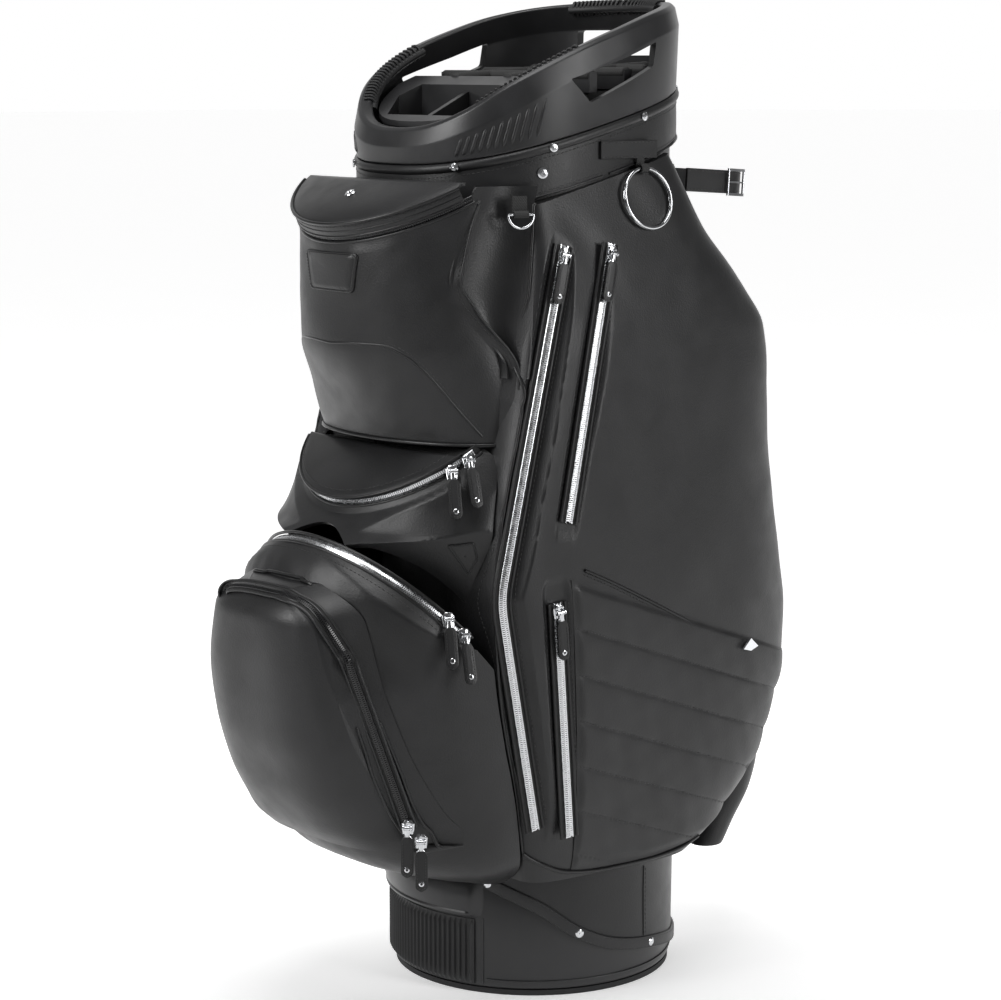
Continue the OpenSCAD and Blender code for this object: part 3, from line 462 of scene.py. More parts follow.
def chain(name, C, N, mat, body="bag", half=3.1, pitch=1.9, low=0.0, rows=(1, -1)):
    """Two interleaved rows of zip teeth with a cord along each outer edge."""
    parts = []
    for k in rows:
        a, b = sorted((-.35 * k, half * k))
        tooth = block(-pitch * .33, pitch * .33, a, b, low, low + 1.9)
        V = tooth[0]
        V[:, 2] -= np.where((V[:, 2] > low + 1) & (np.abs(V[:, 1]) > half - .2), .7, 0)
        parts.append(along(C, N, pitch, tooth, start=0 if k > 0 else pitch / 2))
        T, B, M = frames(C, N)
        parts.append(swept(C + B * k * (half + .3) + M * (low + .5), N, round_prof(.55, 6)))
    return put(name, *join(parts), mat, body, sharp=30)


def slider(name, place, body):
    """Zip slider at a pin: place(points) turns local points, X along the pin and -Y outwards."""
    o = np.array([(-4.4, 3.6), (-3.2, 6.3), (-.9, 6.5), (0, 4.9), (.9, 6.5), (3.2, 6.3), (4.4, 3.6),
                  (4.0, -1), (3.4, -5.6), (2.4, -6.5), (-2.4, -6.5), (-3.4, -5.6), (-4.0, -1)])
    parts = []
    for y0, y1 in ((2.2, 3.7), (4.9, 6.0)):
        rings = [(y0, .86), (y0 + .45, 1.0), (y1 - .3, 1.0), (y1, .93)]
        V = np.vstack([xyz(o[:, 0] * k, y, o[:, 1] * k) for y, k in rings])
        parts.append((V, capped(4, len(o))))
    for k in (-1, 1):
        rail = spline([(k * 4.3, 4.4, 3.4), (k * 4.2, 4.4, 0), (k * 3.4, 4.4, -6)], 1)
        parts.append(swept(rail, (k, 0, 0), round_prof(.7, 8, 1.9)))
        bow = [(3.0, 2.1), (.2, 1.9), (-1.3, .9), (-1.3, -.9), (.2, -1.9), (3.0, -2.1)]
        cheek = spline([(k * 3.7, y, z) for y, z in bow], .7)
        parts.append(swept(cheek, (k, 0, 0), flat_prof(1.5, -.7, .7, 0, .3)))
    pin = np.c_[np.linspace(-4.4, 4.4, 7), np.zeros(7), np.zeros(7)]
    parts.append(swept(pin, (0, 1, 0), round_prof(.9, 12)))
    V, F = join(parts)
    return put(name, place(V), F, CHROME, body, sharp=40)


def pull(name, place, body, length=44, width=11):
    """Leather tab on a wire eye: the eye turns on the slider's pin."""
    a = np.linspace(0, 2 * np.pi, RADIAL + 1)[:-1]
    eye = xyz(0, 1.55 * np.sin(a), 1.55 * np.cos(a))
    parts = [swept(eye, (1, 0, 0), flat_prof(1.1, -2.3, 2.3, 0, .4), True)]
    neck = spline([(0, -.1, -1.6), (0, 0, -4.5), (0, 0, -8.8)], 1)
    w = np.interp(neck[:, 2], [-9, -6.5, -1.5], [4.4, 2.3, 2.2])
    prof = np.stack([round_prof(1, 12) * [k, .95] for k in w])
    parts.append(swept(neck, (0, -1, 0), prof))
    V, F = join(parts)
    put(name + "_clasp", place(V), F, CHROME, body, sharp=40)
    r = width / 2
    top, bottom = -7.8, -length + r
    z = np.r_[np.linspace(top, bottom, 26), bottom - r * np.sin(np.linspace(.12, 1.5, 10))]
    half = np.where(z > bottom, r, np.sqrt(np.maximum(r * r - (z - bottom)**2, .05)))
    half = half * np.interp(z, [-12, top], [1, .62])
    u = np.linspace(-1, 1, 13)
    x = half[:, None] * u[None]
    bend = .5 * np.sin((z - top) / length * 3.1)[:, None]
    t = 1.35 - .55 * np.abs(u[None])**6 - .25 * np.exp(-((np.abs(x) - half[:, None] + 1.7) / .5)**2)
    zz = np.broadcast_to(z[:, None], x.shape)
    V, F = between(xyz(x, -t + bend, zz), xyz(x, t * .9 + bend, zz))
    put(name, place(V), F, TAB, body, sharp=50)
    inset, turn = r - 1.7, np.linspace(.1, 3.04, 13)
    edge = np.r_[np.c_[-r + 1.7 + 0 * z[4:26], z[4:26]],
                 np.c_[-inset * np.cos(turn), bottom - inset * np.sin(turn)],
                 np.c_[r - 1.7 + 0 * z[4:26], z[4:26][::-1]]]
    bend = .5 * np.sin((edge[:, 1] - top) / length * 3.1)
    C = resample(xyz(edge[:, 0], -1.25 + bend, edge[:, 1]), .8)
    V, F = along(C, np.broadcast_to([0., -1., 0.], C.shape), 2.6, pill(1.8, .5, .3, .05))
    put(name + "_thread", place(V), F, THREAD, body, sharp=0)
    rings = [(2.5, -1.1), (2.5, -1.7), (1.9, -2.1), (1.2, -2.15), (1.0, -1.7), (.1, -1.6)]
    V = np.vstack([xyz(q * np.cos(a), y, -length + 7 + q * np.sin(a)) for q, y in rings])
    put(name + "_rivet", place(V), capped(6, RADIAL), CHROME, body, sharp=40)


# ---- the body tube and the base ------------------------------------------------------------
tube_n = straight([[112, 2], [220, 2.4]])
tube_rx = straight([[90, 126], [450, 127], [800, 124]])
tube_ry = straight([[90, 126], [450, 136], [800, 143]])
tube_cy = straight([[90, 0], [450, -8], [800, -20]])
collar_z = lambda y: 766 + .25 * y
cuff_z = lambda y: 811 + .25 * y


def tube(a, z, d=0.0):
    x, y = oval(a, tube_rx(z) + d, tube_ry(z) + d, tube_n(z))
    return xyz(x, y + tube_cy(z), z)


def round_at(b, r, z):
    b = np.radians(b)
    return xyz(r * np.sin(b), -r * np.cos(b), z)


def revolved(name, prof, a0, a1, steps, mat, body="bag", shape=None):
    """Outline of (radius, height) turned between two angles from the front."""
    b = np.linspace(a0, a1, steps + 1)
    prof = np.array(prof, float)
    r = np.broadcast_to(prof[:, 0][:, None], (len(prof), len(b)))
    if shape is not None:
        r = shape(r, b[None])
    P = round_at(b[None], r, prof[:, 1][:, None])
    full = abs(a1 - a0) >= 360
    if full:
        P = P[:, :-1]
    n = P.shape[1]
    F = faces_of(len(prof), n, wrap_m=True, wrap_n=full)
    if not full:
        F += [[j * n for j in range(len(prof))], [j * n + n - 1 for j in range(len(prof))]]
    return put(name, P.reshape(-1, 3), F, mat, body)


R = 134.0        # radius of the base
foot = [(118, 5.2), (130, 5.2), (132, 6), (133.4, 8), (134, 11), (134, 110), (133.2, 111.6),
        (131.5, 112), (130.5, 111), (130.5, 12), (118, 10)]
revolved("base_foot", foot, 0, 360, 180, MOULD)
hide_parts("base_cup")
end = lambda b, lo, hi, w: ease((b - lo) / w) * ease((hi - b) / w)
hood = [(132.5, 74), (136.5, 73.6), (139, 75.5), (141.6, 80), (143.2, 86), (143.6, 93), (142.2, 100),
        (139.5, 107), (137, 111), (135, 112.4), (132.5, 112)]
revolved("base_hood", hood, -52, 30, 120, MOULD,
         shape=lambda r, b: 132.5 + (r - 132.5) * (.12 + .88 * end(b, -52, 30, 5)))
hood_lip = [(139, 75.2), (141.2, 75.6), (142.2, 78), (141, 80.4), (139, 80)]
revolved("base_hood_lip", hood_lip, -49, 27, 100, MOULD,
         shape=lambda r, b: 134 + (r - 134) * end(b, -49, 27, 3))
ribs_n, rib_steps = 31, 14
b = np.linspace(-50, 26, ribs_n * rib_steps + 1)
z = np.r_[8, 8.6, 10.5, 13, np.linspace(20, 60, 8), 66, 69, 70.6, 71.2]
rib = np.clip(np.cos(2 * np.pi * (b + 50) / (76 / ribs_n) + np.pi), -.3, 1)
top = np.interp(z, [8, 10.5, 13, 66, 69, 71.2], [0, .2, 1, 1, .2, 0])
r = R + 1.2 + top[:, None] * (1.8 + 1.9 * rib[None])
G = between(round_at(b[None], r, z[:, None]), round_at(b[None], R - .5 + 0 * r, z[:, None]))
ribs = put("base_ribs", *G, GRIP, sharp=0)
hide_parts("base_grip_panel")
line = round_at(29.5, R + .1, np.linspace(9, 72, 30))
piping("base_mould_line", line, round_at(29.5, 1, 0), .9, mat=MOULD)
line = round_at(np.linspace(31, 308, 200), R + .1, 14)
piping("base_foot_ring", line, line * [1, 1, 0], .8, mat=MOULD)

trim_raw = smooth([[30, 110], [36, 104], [52, 86], [68, 60], [83, 45], [106, 35], [135, 25],
                   [180, 22]])
folded = lambda b: np.where(b > 180, 180 - (b - 180) * 149 / 124, b)
trim_z = lambda b: trim_raw(folded(b))
b = np.linspace(31, 304, 274)
hi = np.where((folded(b) < 43) | (b > 265), 112.8, 116 + .03 * R * np.cos(np.radians(b)))
v = np.linspace(0, 1, 26)[:, None]
z = (trim_z(b) - 2) * (1 - v) + (hi + 2) * v
P = round_at(b[None], R + 2.3 + 0 * z, z)
P = P + (normals(P) * waves(P, 3, 60, .55, (1, 1, .5))[..., None])
skirt = put("base_skirt_cloth", *sheet_of(P, 1.5, out=(0, 0, 60)), LEATHER)
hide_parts("base_skirt")
on = Skin(skirt)
for bb, nm in ((100, "a"), (232, "b")):
    C, N = on.lay(round_at(np.full(9, bb), R + 3, np.linspace(trim_z(bb) + 7, 112, 9)), 2)
    piping("skirt_seam_" + nm, C, N, .8)
    stitch("skirt_stitch_" + nm, C, N, 3.2)
b = np.linspace(31, 304, 260)
C = round_at(b, R + 3.0, trim_z(b))
N = unit(C * [1, 1, 0])
trim = put("base_trim_band", *swept(C, N, flat_prof(12, -.6, 1.5, .5, .7)), LEATHER)
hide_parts("base_trim")
stitch("base_trim_stitch_low", C, N, -4.3, lift=1.6)
stitch("base_trim_stitch_high", C, N, 4.3, lift=1.6)

a = np.linspace(0, 360, 181)[:-1]
zz = np.r_[24, 60, 90, 112, 140, 180, 220, np.linspace(260, 760, 26), 796]
lev = np.clip(zz, 90, 800)[:, None]
T = tube(a[None], np.broadcast_to(lev, (len(zz), 180)))
T[..., 2] = np.where(zz[:, None] > 790, 796 + .25 * T[..., 1], zz[:, None])
T = T + (unit(T * [1, 1, 0]) * (waves(T, 5, 150, .35, (1, 1, .3)) - .3)[..., None])
body = put("body_cloth", *sheet_of(T, 3.4, True, out=(0, 0, 400)), LEATHER)
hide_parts("body_shell")

# ---- collar ---------------------------------------------------------------------------------
RIM_RX, RIM_RY, RIM_N, RIM_CY = 128, 147, 2.5, -20


def rim_ring(a, d, z_of):
    """Ring d inside the rim, at a height that follows the depth of the rim itself."""
    x, y = oval(a, RIM_RX - d, RIM_RY - d, RIM_N)
    return xyz(x, y + RIM_CY, z_of(oval(a, RIM_RX, RIM_RY, RIM_N)[1] + RIM_CY))


def off_axis(C):
    """Level directions away from the middle of the rim."""
    return unit((C - [0, RIM_CY, 0]) * [1, 1, 0])


a = np.linspace(0, 360, 241)[:-1]
v = np.linspace(0, 1, 9)[:, None]
lo, hi = rim_ring(a, .4, collar_z), rim_ring(a, .4, lambda y: cuff_z(y) - 8)
P = lo[None] * (1 - v[..., None]) + hi[None] * v[..., None]
P = P + off_axis(P) * (waves(P, 8, 70, .25) + .3 * np.sin(np.pi * v))[..., None]
band = put("collar_cloth", *sheet_of(P, 2.6, True, out=(0, 0, 780)), LEATHER)
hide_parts("collar_band")
C = rim_ring(a, 1.2, lambda y: cuff_z(y) - 5)
N = off_axis(C)
roll = put("collar_roll", *swept(C, N, round_prof(4.3, 14, .8), True), LEATHER)
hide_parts("collar_piping")
on = Skin(band)
round_collar = lambda z_of: on.lay(rim_ring(a, -1, z_of), 1.5, curve=False)
stitch("collar_stitch_low", *round_collar(lambda y: collar_z(y) + 3.2))
stitch("collar_stitch_high", *round_collar(lambda y: cuff_z(y) - 12.5))
piping("collar_edge", *round_collar(collar_z), 1.1)

# ---- cuff -----------------------------------------------------------------------------------
rim_z = smooth([[-168, 801], [-150, 817], [-120, 841], [-60, 870], [0, 890], [50, 904], [104, 914],
                [132, 917]])
crease_z = smooth([[-168, 784], [-150, 797], [-120, 815], [-60, 845], [0, 868], [50, 884],
                   [104, 895], [132, 898]])


def cuff_at(a, d, drop, kind):
    """Ring d inside the cuff, dropped below its foot (kind 0), its crease (1) or its rail (2)."""
    return rim_ring(a, d, lambda y: (cuff_z, crease_z, rim_z)[kind](y) - drop)


def rounded(rings, r):
    """Corners of a stack of rings cut back by r and bulged, so that every edge is soft."""
    R0, out = np.array(rings), []
    for k in range(len(R0)):
        p, q, s = R0[k - 1], R0[k], R0[(k + 1) % len(R0)]
        e, f = p - q, s - q
        le, lf = (np.linalg.norm(w, axis=-1, keepdims=True) for w in (e, f))
        e, f = e / le * np.minimum(r, le * .4), f / lf * np.minimum(r, lf * .4)
        out += [q + e, q + .3 * e + .06 * f, q + .06 * e + .3 * f, q + f]
    return np.array(out)


A = np.linspace(0, 360, 301)[:-1]
prof = [(12, 48, 0), (12, 1, 0), (.6, 0, 0), (-1.4, 0, 1), (2, 3.5, 2), (5.5, 0, 2), (12.5, 0, 2),
        (15, 2.2, 2), (6.2, 6, 1), (5.2, -4, 0), (16, 3, 0), (16, 48, 0)]
rings = rounded([cuff_at(A, *p) for p in prof], 1.6)
V = rings.reshape(-1, 3)
cuff = put("cuff_shell", V, faces_of(len(rings), len(A), wrap_m=True, wrap_n=True), MOULD)
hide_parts("cuff")


def prism(name, pts, axis, lo, hi, r=3.0):
    """Cutter: an outline with rounded corners, run from lo to hi along an axis."""
    p, out = np.array(pts, float), []
    for k in range(len(p)):
        q, e, f = p[k], p[k - 1] - p[k], p[(k + 1) % len(p)] - p[k]
        e, f = unit(e) * min(r, np.linalg.norm(e) * .4), unit(f) * min(r, np.linalg.norm(f) * .4)
        for t in np.linspace(0, 1, 5):
            out.append(q + e * (1 - t)**2 + f * t**2)
    V, F = extruded(np.array(out), axis, lo, hi)
    me = bpy.data.meshes.new(name)
    me.from_pydata((V * MM).tolist(), [], F)
    bm = bmesh.new()
    bm.from_mesh(me)
    bmesh.ops.recalc_face_normals(bm, faces=bm.faces)
    bm.to_mesh(me)
    bm.free()
    ob = bpy.data.objects.new(name, me)
    bpy.context.scene.collection.objects.link(ob)
    return ob


def apply_all(ob):
    dg = bpy.context.evaluated_depsgraph_get()
    dg.update()
    me = bpy.data.meshes.new_from_object(ob.evaluated_get(dg))
    ob.modifiers.clear()
    ob.data = me


def cut(ob, cutters, sharp=38):
    for c in cutters:
        m = ob.modifiers.new("cut", "BOOLEAN")
        m.operation, m.solver, m.object = "DIFFERENCE", "EXACT", c
    apply_all(ob)
    for c in cutters:
        bpy.data.objects.remove(c)
    ob.data.polygons.foreach_set("use_smooth", [True] * len(ob.data.polygons))
    ob.data.set_sharp_from_angle(angle=math.radians(sharp))


side_window = [[-65, 845], [-42, 824], [37, 856], [41, 878], [0, 864]]
back_window = [[-62, 866], [62, 866], [62, 890], [-62, 890]]
cut(cuff, [prism("w1", side_window, 0, -200, 200), prism("w2", back_window, 1, 90, 170)])

# slanted louvres on both sides of the cuff, in front of the windows
for s, nm in SIDES:
    parts = []
    for t in np.linspace(0, 1, 11):
        aa = np.interp(t, [0, 1], [-62, -27])
        lo, hi = cuff_at(np.array([aa]), .4, 0, 0)[0], cuff_at(np.array([aa + 5]), -1.2, 0, 1)[0]
        C = np.linspace(lo + (hi - lo) * .18, lo + (hi - lo) * np.interp(t, [0, 1], [.78, .92]), 9)
        N = off_axis(C)
        w = np.interp(np.linspace(0, 1, 9), [0, .1, .9, 1], [.2, 1, 1, .2])
        pr = np.stack([round_prof(1.7, 10, .75, .3) * k for k in w])
        v, f = swept(C, N, pr)
        parts.append((v * [s, 1, 1], f))
    put("cuff_louvres_" + nm, *join(parts), MOULD)

# corrugated grips round the inner edge of the rail
parts = []
for lo, hi in ((-52, -8), (188, 232), (64, 116)):
    for aa in np.arange(lo, hi + .1, 2.15):
        path = [cuff_at(np.array([aa]), d, drop, 2)[0] for d, drop in
                ((7, -.6), (10, -1.1), (13.5, -1.0), (15.8, 1), (17.2, 4.5), (16.6, 8), (13.5, 11.5))]
        C = spline(path, 1.2)
        mid = C.mean(0)
        N = unit(C - (mid + (cuff_at(np.array([aa]), 8, 8, 2)[0] - mid)))
        parts.append(swept(C, N, round_prof(1.45, 8, .9)))
grips = put("cuff_grip_ribs", *join(parts), GRIP)
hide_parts("cuff_grips")
for k, (lo, hi) in enumerate(((-54, -6), (186, 234), (62, 118))):
    aa = np.linspace(lo, hi, 50)
    core = cuff_at(aa, 14.2, 6.3, 2)
    piping("cuff_grip_core_%d" % k, core, -off_axis(core), 3.6, mat=GRIP)

# padded rolls on the divider bars
deck_z = straight([[-170, 800], [-64, 851], [0, 855], [130, 863]])


def edge_x(y, z, d):
    """Half width of the tube at a depth, d inside its wall."""
    t = np.abs(y - tube_cy(z)) / (tube_ry(z) - d)
    return (tube_rx(z) - d) * np.maximum(0, 1 - t**tube_n(z))**(1 / tube_n(z))


parts = []
for s in (-1, 1):
    y = np.linspace(-64, 108, 60)
    parts.append(swept(xyz(s * 38, y, deck_z(y) - 6), (0, 0, 1), round_prof(6.2, 14, .8)))
for y0 in (-20, 26, 70):
    e = float(edge_x(y0, 800, 20))
    x = np.linspace(-e, e, 60)
    parts.append(swept(xyz(x, y0, deck_z(y0) - 6.2 + 0 * x), (0, 0, 1), round_prof(6.0, 14, .8)))
put("divider_rolls", *join(parts), FABRIC, sharp=0)

# ---- side pockets ---------------------------------------------------------------------------
side_front = smooth([[116, -116], [143, -127], [206, -141], [301, -164], [393, -173], [428, -170],
                     [506, -153], [567, -138], [654, -124], [762, -107]])
side_back = smooth([[116, 100], [133, 128], [164, 155], [203, 189], [242, 204], [290, 219], [340, 221],
                    [394, 212], [446, 201], [506, 195], [562, 193], [611, 184], [640, 160], [652, 148],
                    [696, 104], [762, 62]])
side_bulge = smooth([[116, 138], [143, 144], [206, 155], [301, 163], [393, 167], [506, 164],
                     [611, 158], [696, 146.6], [762, 129.3]])
side_mid = smooth([[560, 84], [611, 94], [654, 99], [700, 104], [762, 112]])
slope = straight([[117, -.03], [250, 0], [600, 0], [762, .25]])
from_a = straight([[560, -50], [611, -45], [654, -42], [700, -38], [762, -32]])
to_a = straight([[652, 64], [700, 45], [762, 28]])


def side(a, z, d=0.0):
    f, b, mid = side_front(z), side_back(z), side_mid(z)
    n = np.where(np.asarray(a) < 0, 7, 3.2)
    x, y = oval(a, side_bulge(z) - mid + d, (b - f) / 2 + d, n)
    y = y + (f + b) / 2
    return xyz(mid + x, y, z + slope(z) * y)


def side_at(y, z, d=0.0):
    """Point of the side pocket at a depth and a true height."""
    y, z = np.asarray(y, float), np.asarray(z, float)
    lev = z
    for _ in range(14):
        lev = z - slope(lev) * y
    f, b, mid = side_front(lev), side_back(lev), side_mid(lev)
    t = np.clip((y - (f + b) / 2) / ((b - f) / 2 + d), -1, 1)
    n = np.where(t < 0, 7, 3.2)
    return xyz(mid + (side_bulge(lev) - mid + d) * (1 - np.abs(t)**n)**(1 / n), y, z)


facing = lambda az: np.array([math.sin(math.radians(az)), -math.cos(math.radians(az)), 0])
# a straight zip: its top, its foot and the way it faces, in degrees from the front
ZIPS = {"long": ([141, -86, 700], [150, -167, 393], 76),
        "low": ([150, -167, 393], [143, -120, 175], 76),
        "upper": ([149, -38, 700], [163, -100, 456], 84),
        "lower": ([162, -112, 386], [153, -88, 165], 82)}


def zip_frame(z):
    p, q = np.array(z[0], float), np.array(z[1], float)
    u = unit(p - q)
    x = unit(np.cross(u, facing(z[2])))
    return q, u, x, np.cross(x, u), np.linalg.norm(p - q)


def press(P, z, half=8.6, up=10.0, down=10.0):
    """Leather drawn down to a straight zip, so that its slider and pull run clear."""
    q, u, x, out, L = zip_frame(z)
    d = P - q
    s, X, Y = d @ u, np.abs(d @ x), d @ out
    allow = -.4 + 6.5 * (np.maximum(X - half, 0) / 9)**1.6 * (X > half)
    beyond = np.maximum(np.maximum(s - L - up, -s - down), 0)
    allow = allow + 9 * (beyond / 14)**1.5
    new = np.where((Y > allow) & (X < 40) & (Y > -60), allow, Y)
    k = np.exp(-np.maximum(X - half - 14, 0) / 8)
    new = np.where(X > half + 14, Y + (new - Y) * k, new)
    return P + (new - Y)[..., None] * out


angles = np.r_[-90 * (1 - np.linspace(0, 1, 90)[:-1])**1.5, np.linspace(0, 90, 90)]
levels = np.r_[117, 121, 127, np.linspace(134, 754, 150), 759, 762]
PLAIN = side(angles[None], levels[:, None])
base_N = normals_to(PLAIN, 80, 90, [1, 0, 0])
wrinkle = waves(PLAIN, 11, 120, .9, (.4, 1, .6)) + waves(PLAIN, 12, 45, .22, (.4, 1, .8))
fade = ease((PLAIN[..., 2] - 118) / 25) * ease((778 - PLAIN[..., 2]) / 30)
PLAIN = PLAIN + base_N * (wrinkle * fade)[..., None]
tt = np.linspace(0, 1, len(angles))
INNER = tube(from_a(levels)[:, None] * (1 - tt) + to_a(levels)[:, None] * tt,
             np.broadcast_to(levels[:, None], (len(levels), len(tt))),
             .8 + 1.2 * ease((levels - 600) / 60)[:, None])
INNER[..., 2] = levels[:, None] + slope(levels)[:, None] * INNER[..., 1]
mirror = np.array([-1, 1, 1])
right = left = PLAIN
for k in ZIPS:
    right = press(right, ZIPS[k], up=4 if k == "low" else 14)
for k in ("long", "low"):
    left = press(left, ZIPS[k], up=4 if k == "low" else 14)
side_right = put("side_cloth_right", *between(right, INNER), LEATHER)
V, F = between(left, INNER)
side_left = put("side_cloth_left", V * mirror, F, LEATHER)
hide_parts("side_pocket_right")
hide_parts("side_pocket_left")
SIDE = {1: Skin(side_right), -1: Skin(side_left)}

# ---- straight zips ------------------------------------------------------------------------------
def zip_line(keys):
    """Line down one straight zip, or down two that meet in a soft bend."""
    pts, nor = [], []
    for k in keys:
        q, u, x, out, L = zip_frame(ZIPS[k])
        t = np.linspace(L, 0, 80)
        pts.append(q + t[:, None] * u)
        nor.append(np.broadcast_to(out, (80, 3)))
    C, N = np.vstack(pts), np.vstack(nor).copy()
    s = lengths(C)
    t = np.linspace(0, s[-1], int(s[-1] / 2))
    C, N = at_lengths(t, s, C), at_lengths(t, s, N)
    settle(60 if len(keys) > 1 else 2, C, N)
    return C, N


for nm, keys, s in (("long_right", ("long", "low"), 1), ("upper", ("upper",), 1),
                    ("lower", ("lower",), 1), ("long_left", ("long", "low"), -1)):
    C, N = (A * [s, 1, 1] for A in zip_line(keys))
    put("zip_tape_" + nm, *swept(C, N, flat_prof(16.4, .2, 1.9, 0, .4)), TAPE)
    chain("zip_chain_" + nm, C, N, CHAIN, low=2.3)
    T, B, M = frames(C, N)
    for k in (-1, 1):
        E, EN = SIDE[s].lay(C + B * k * 12.5, 2, out=N[len(N) // 2], curve=False)
        stitch("zip_stitch_%s_%s" % (nm, "ab"[k > 0]), E, EN, lift=.1)
        W = C + B * k * 8.2 + M * 1.2
        put("zip_welt_%s_%s" % (nm, "ab"[k > 0]), *swept(W, N, round_prof(1.5, 10, 1.1, .6)), LEATHER)
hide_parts("side_zips")

# ---- arched zips: radius in the plane, height over it, angle from the front towards +X ---------
# each one's front point (depth, height), the slope of its plane and its radius
ARC = {"cooler": (-237, 703, .52, 122), "accessory": (-238, 471, .72, 120),
       "ball": (-270, 440, -1.08, 143)}
front_edge = lambda z: side_front(z) - 1


def arc_axes(k):
    y0, z0, s, r = ARC[k]
    h = math.hypot(1, s)
    return np.array([0, y0 + r / h, z0 + r * s / h]), np.array([0, 1, s]) / h, np.array([0, -s, 1]) / h


def on_arc(k, r, h, phi):
    c, Y, Z = arc_axes(k)
    r, h, f = np.broadcast_arrays(r, h, np.radians(phi))
    across, ahead = (r * np.sin(f))[..., None], (r * np.cos(f))[..., None]
    return c + across * [1, 0, 0] - ahead * Y + h[..., None] * Z


def outward(k, phi):
    c, Y, Z = arc_axes(k)
    f = np.radians(np.asarray(phi, float))
    return np.sin(f)[..., None] * [1, 0, 0] - np.cos(f)[..., None] * Y


def held(P, k, h_rows, r_rows, lo, hi):
    """Leather drawn in round an arched zip: never further out than the radius given by height."""
    c, Y, Z = arc_axes(k)
    d = P - c
    x, q, h = d[..., 0], -(d @ Y), d @ Z
    r, f = np.hypot(x, q), np.degrees(np.arctan2(x, q))
    room = ease((f - lo + 5) / 5) * ease((hi + 5 - f) / 5)
    top = np.interp(h, h_rows, r_rows) + 60 * (1 - room)
    k2 = np.where((r > top) & (q > 0), top / np.maximum(r, 1), 1)
    x, q = x * k2, q * k2
    return c + x[..., None] * [1, 0, 0] - q[..., None] * Y + h[..., None] * Z


def arc_trim(name, k, r, h, lo, hi, size, body="bag", mat=None):
    phi = np.linspace(lo, hi, int(abs(hi - lo) * 1.2) + 2)
    return piping(name, on_arc(k, r, h, phi), outward(k, phi), size, body, mat=mat)


def lid(name, k, rows, top_r, top_h, dome, back, left, right, ceiling, body):
    """Lid over an arched zip: a band with rows of (radius, height), then a crowned top.

    back(h) is how far in front of the arc's centre the lid ends. left and right are the angles at
    which its band ends, and no point is higher than the ceiling.
    """
    c, Y, Z = arc_axes(k)
    u = np.linspace(-1, 1, 121)

    def arc_row(r, h):
        e = np.degrees(np.arccos(np.clip(back(h) / r, -1, 1)))
        return on_arc(k, r, h, np.where(u < 0, u * min(e, left), u * min(e, right)))

    grid = [arc_row(r, h) for r, h in rows]
    edge = arc_row(top_r, top_h)
    x, q = edge[:, 0] - c[0], -((edge - c) @ Y)
    for w in np.r_[0, .03, .08, np.linspace(.15, 1, 22)]:
        qq = q + (back(top_h) - q) * w
        rho = np.hypot(x, qq) / top_r
        h = top_h + dome * np.maximum(0, 1 - rho**3.2)**.8 * (1 - .25 * w)
        grid.append(c + x[:, None] * [1, 0, 0] - qq[:, None] * Y + h[:, None] * Z)
    P = np.array(grid)
    P[..., 2] = np.minimum(P[..., 2], ceiling)
    N = normals_to(P, -10, 60, Z)
    soft = waves(P, 21, 60, .5) * np.r_[np.zeros(len(rows)), np.linspace(0, 1, 25)][:, None]
    P = P + N * soft[..., None]
    P[..., 2] = np.minimum(P[..., 2], ceiling)
    return put(name, *between(P, P - N * 2.6), LEATHER, body)


# ---- cooler pocket ------------------------------------------------------------------------------
cool_rx = smooth([[524, 124], [567, 124], [612, 122.5], [660, 122]])
cool_yf = smooth([[524, -198], [567, -218], [612, -236.5], [660, -237.5]])
cool_top = lambda y: 702.2 + .52 * (y + 237)


def cooler(a, z, d=0.0):
    x, y = oval(a, cool_rx(z) + d, -cool_yf(z) - 129 + d, 2.05)
    return xyz(x, y - 129, z)


# free edge of the wall on the right; below it the wall runs into the side pocket
free_y = smooth([[524, -137], [560, -136], [590, -133], [645, -165], [671, -180], [691, -176],
                 [742, -160], [757, -151]])
free_x = smooth([[524, 139], [560, 138], [590, 136], [645, 117], [671, 113.5], [691, 114],
                 [742, 117], [757, 118.5]])
cooler_base, cooler_head = 524, 752
rise = np.linspace(0, 1, 90)
rows = []
for t in rise:
    z_end = cooler_base + (cooler_head - cooler_base) * t
    y_end = float(free_y(z_end)) - 7
    q = np.clip((-129 - y_end) / (-cool_yf(z_end) - 129), -.9, 1)
    turn = 90 - math.degrees(math.asin(q))
    col = np.linspace(0, 1, 80) * turn
    top = np.minimum(cool_top(cooler(270 + col, 700 + 0 * col)[:, 1]), cooler_head)
    body_row = cooler(270 + col, cooler_base * (1 - t) + top * t)
    z_last = body_row[-1, 2]
    tip = np.array([free_x(z_last), free_y(z_last), z_last])
    k = np.linspace(0, 1, 9)[1:, None]
    hook = body_row[-1] * (1 - k) + tip * k
    rows.append(np.vstack([body_row, hook]))
rows = np.array(rows)
P = np.concatenate([(rows * mirror)[:, ::-1], rows[:, 1:]], 1)
N = normals_to(P, 30, 85, [0, -1, 0])
fade = ease(rise[:, None] / .1) * ease((1 - rise[:, None]) / .06)
WALL_N = N
WALL = P + N * ((waves(P, 31, 95, 1.0, (1, 1, .8)) + waves(P, 32, 34, .25)) * fade)[..., None]
wall = put("cooler_cloth", *between(WALL, WALL - N * 4), LEATHER)
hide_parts("cooler_pocket", "cooler_wings")
on_cool = Skin(wall)
facet = np.array([(0, -238, 613), (30, -236, 614.5), (61, -230, 614), (83, -219, 603),
                  (104, -197, 573), (119, -160, 533)])
for s, nm in SIDES:
    C, N = on_cool.lay(facet * [s, 1, 1], 1.5, .2)
    piping("cooler_facet_" + nm, C, N, 1.3)
    stitch("cooler_facet_stitch_" + nm, C, N, 3.4 * s, lift=.1)
C = cooler(np.linspace(186, 354, 160), np.full(160, 525.5), .6)
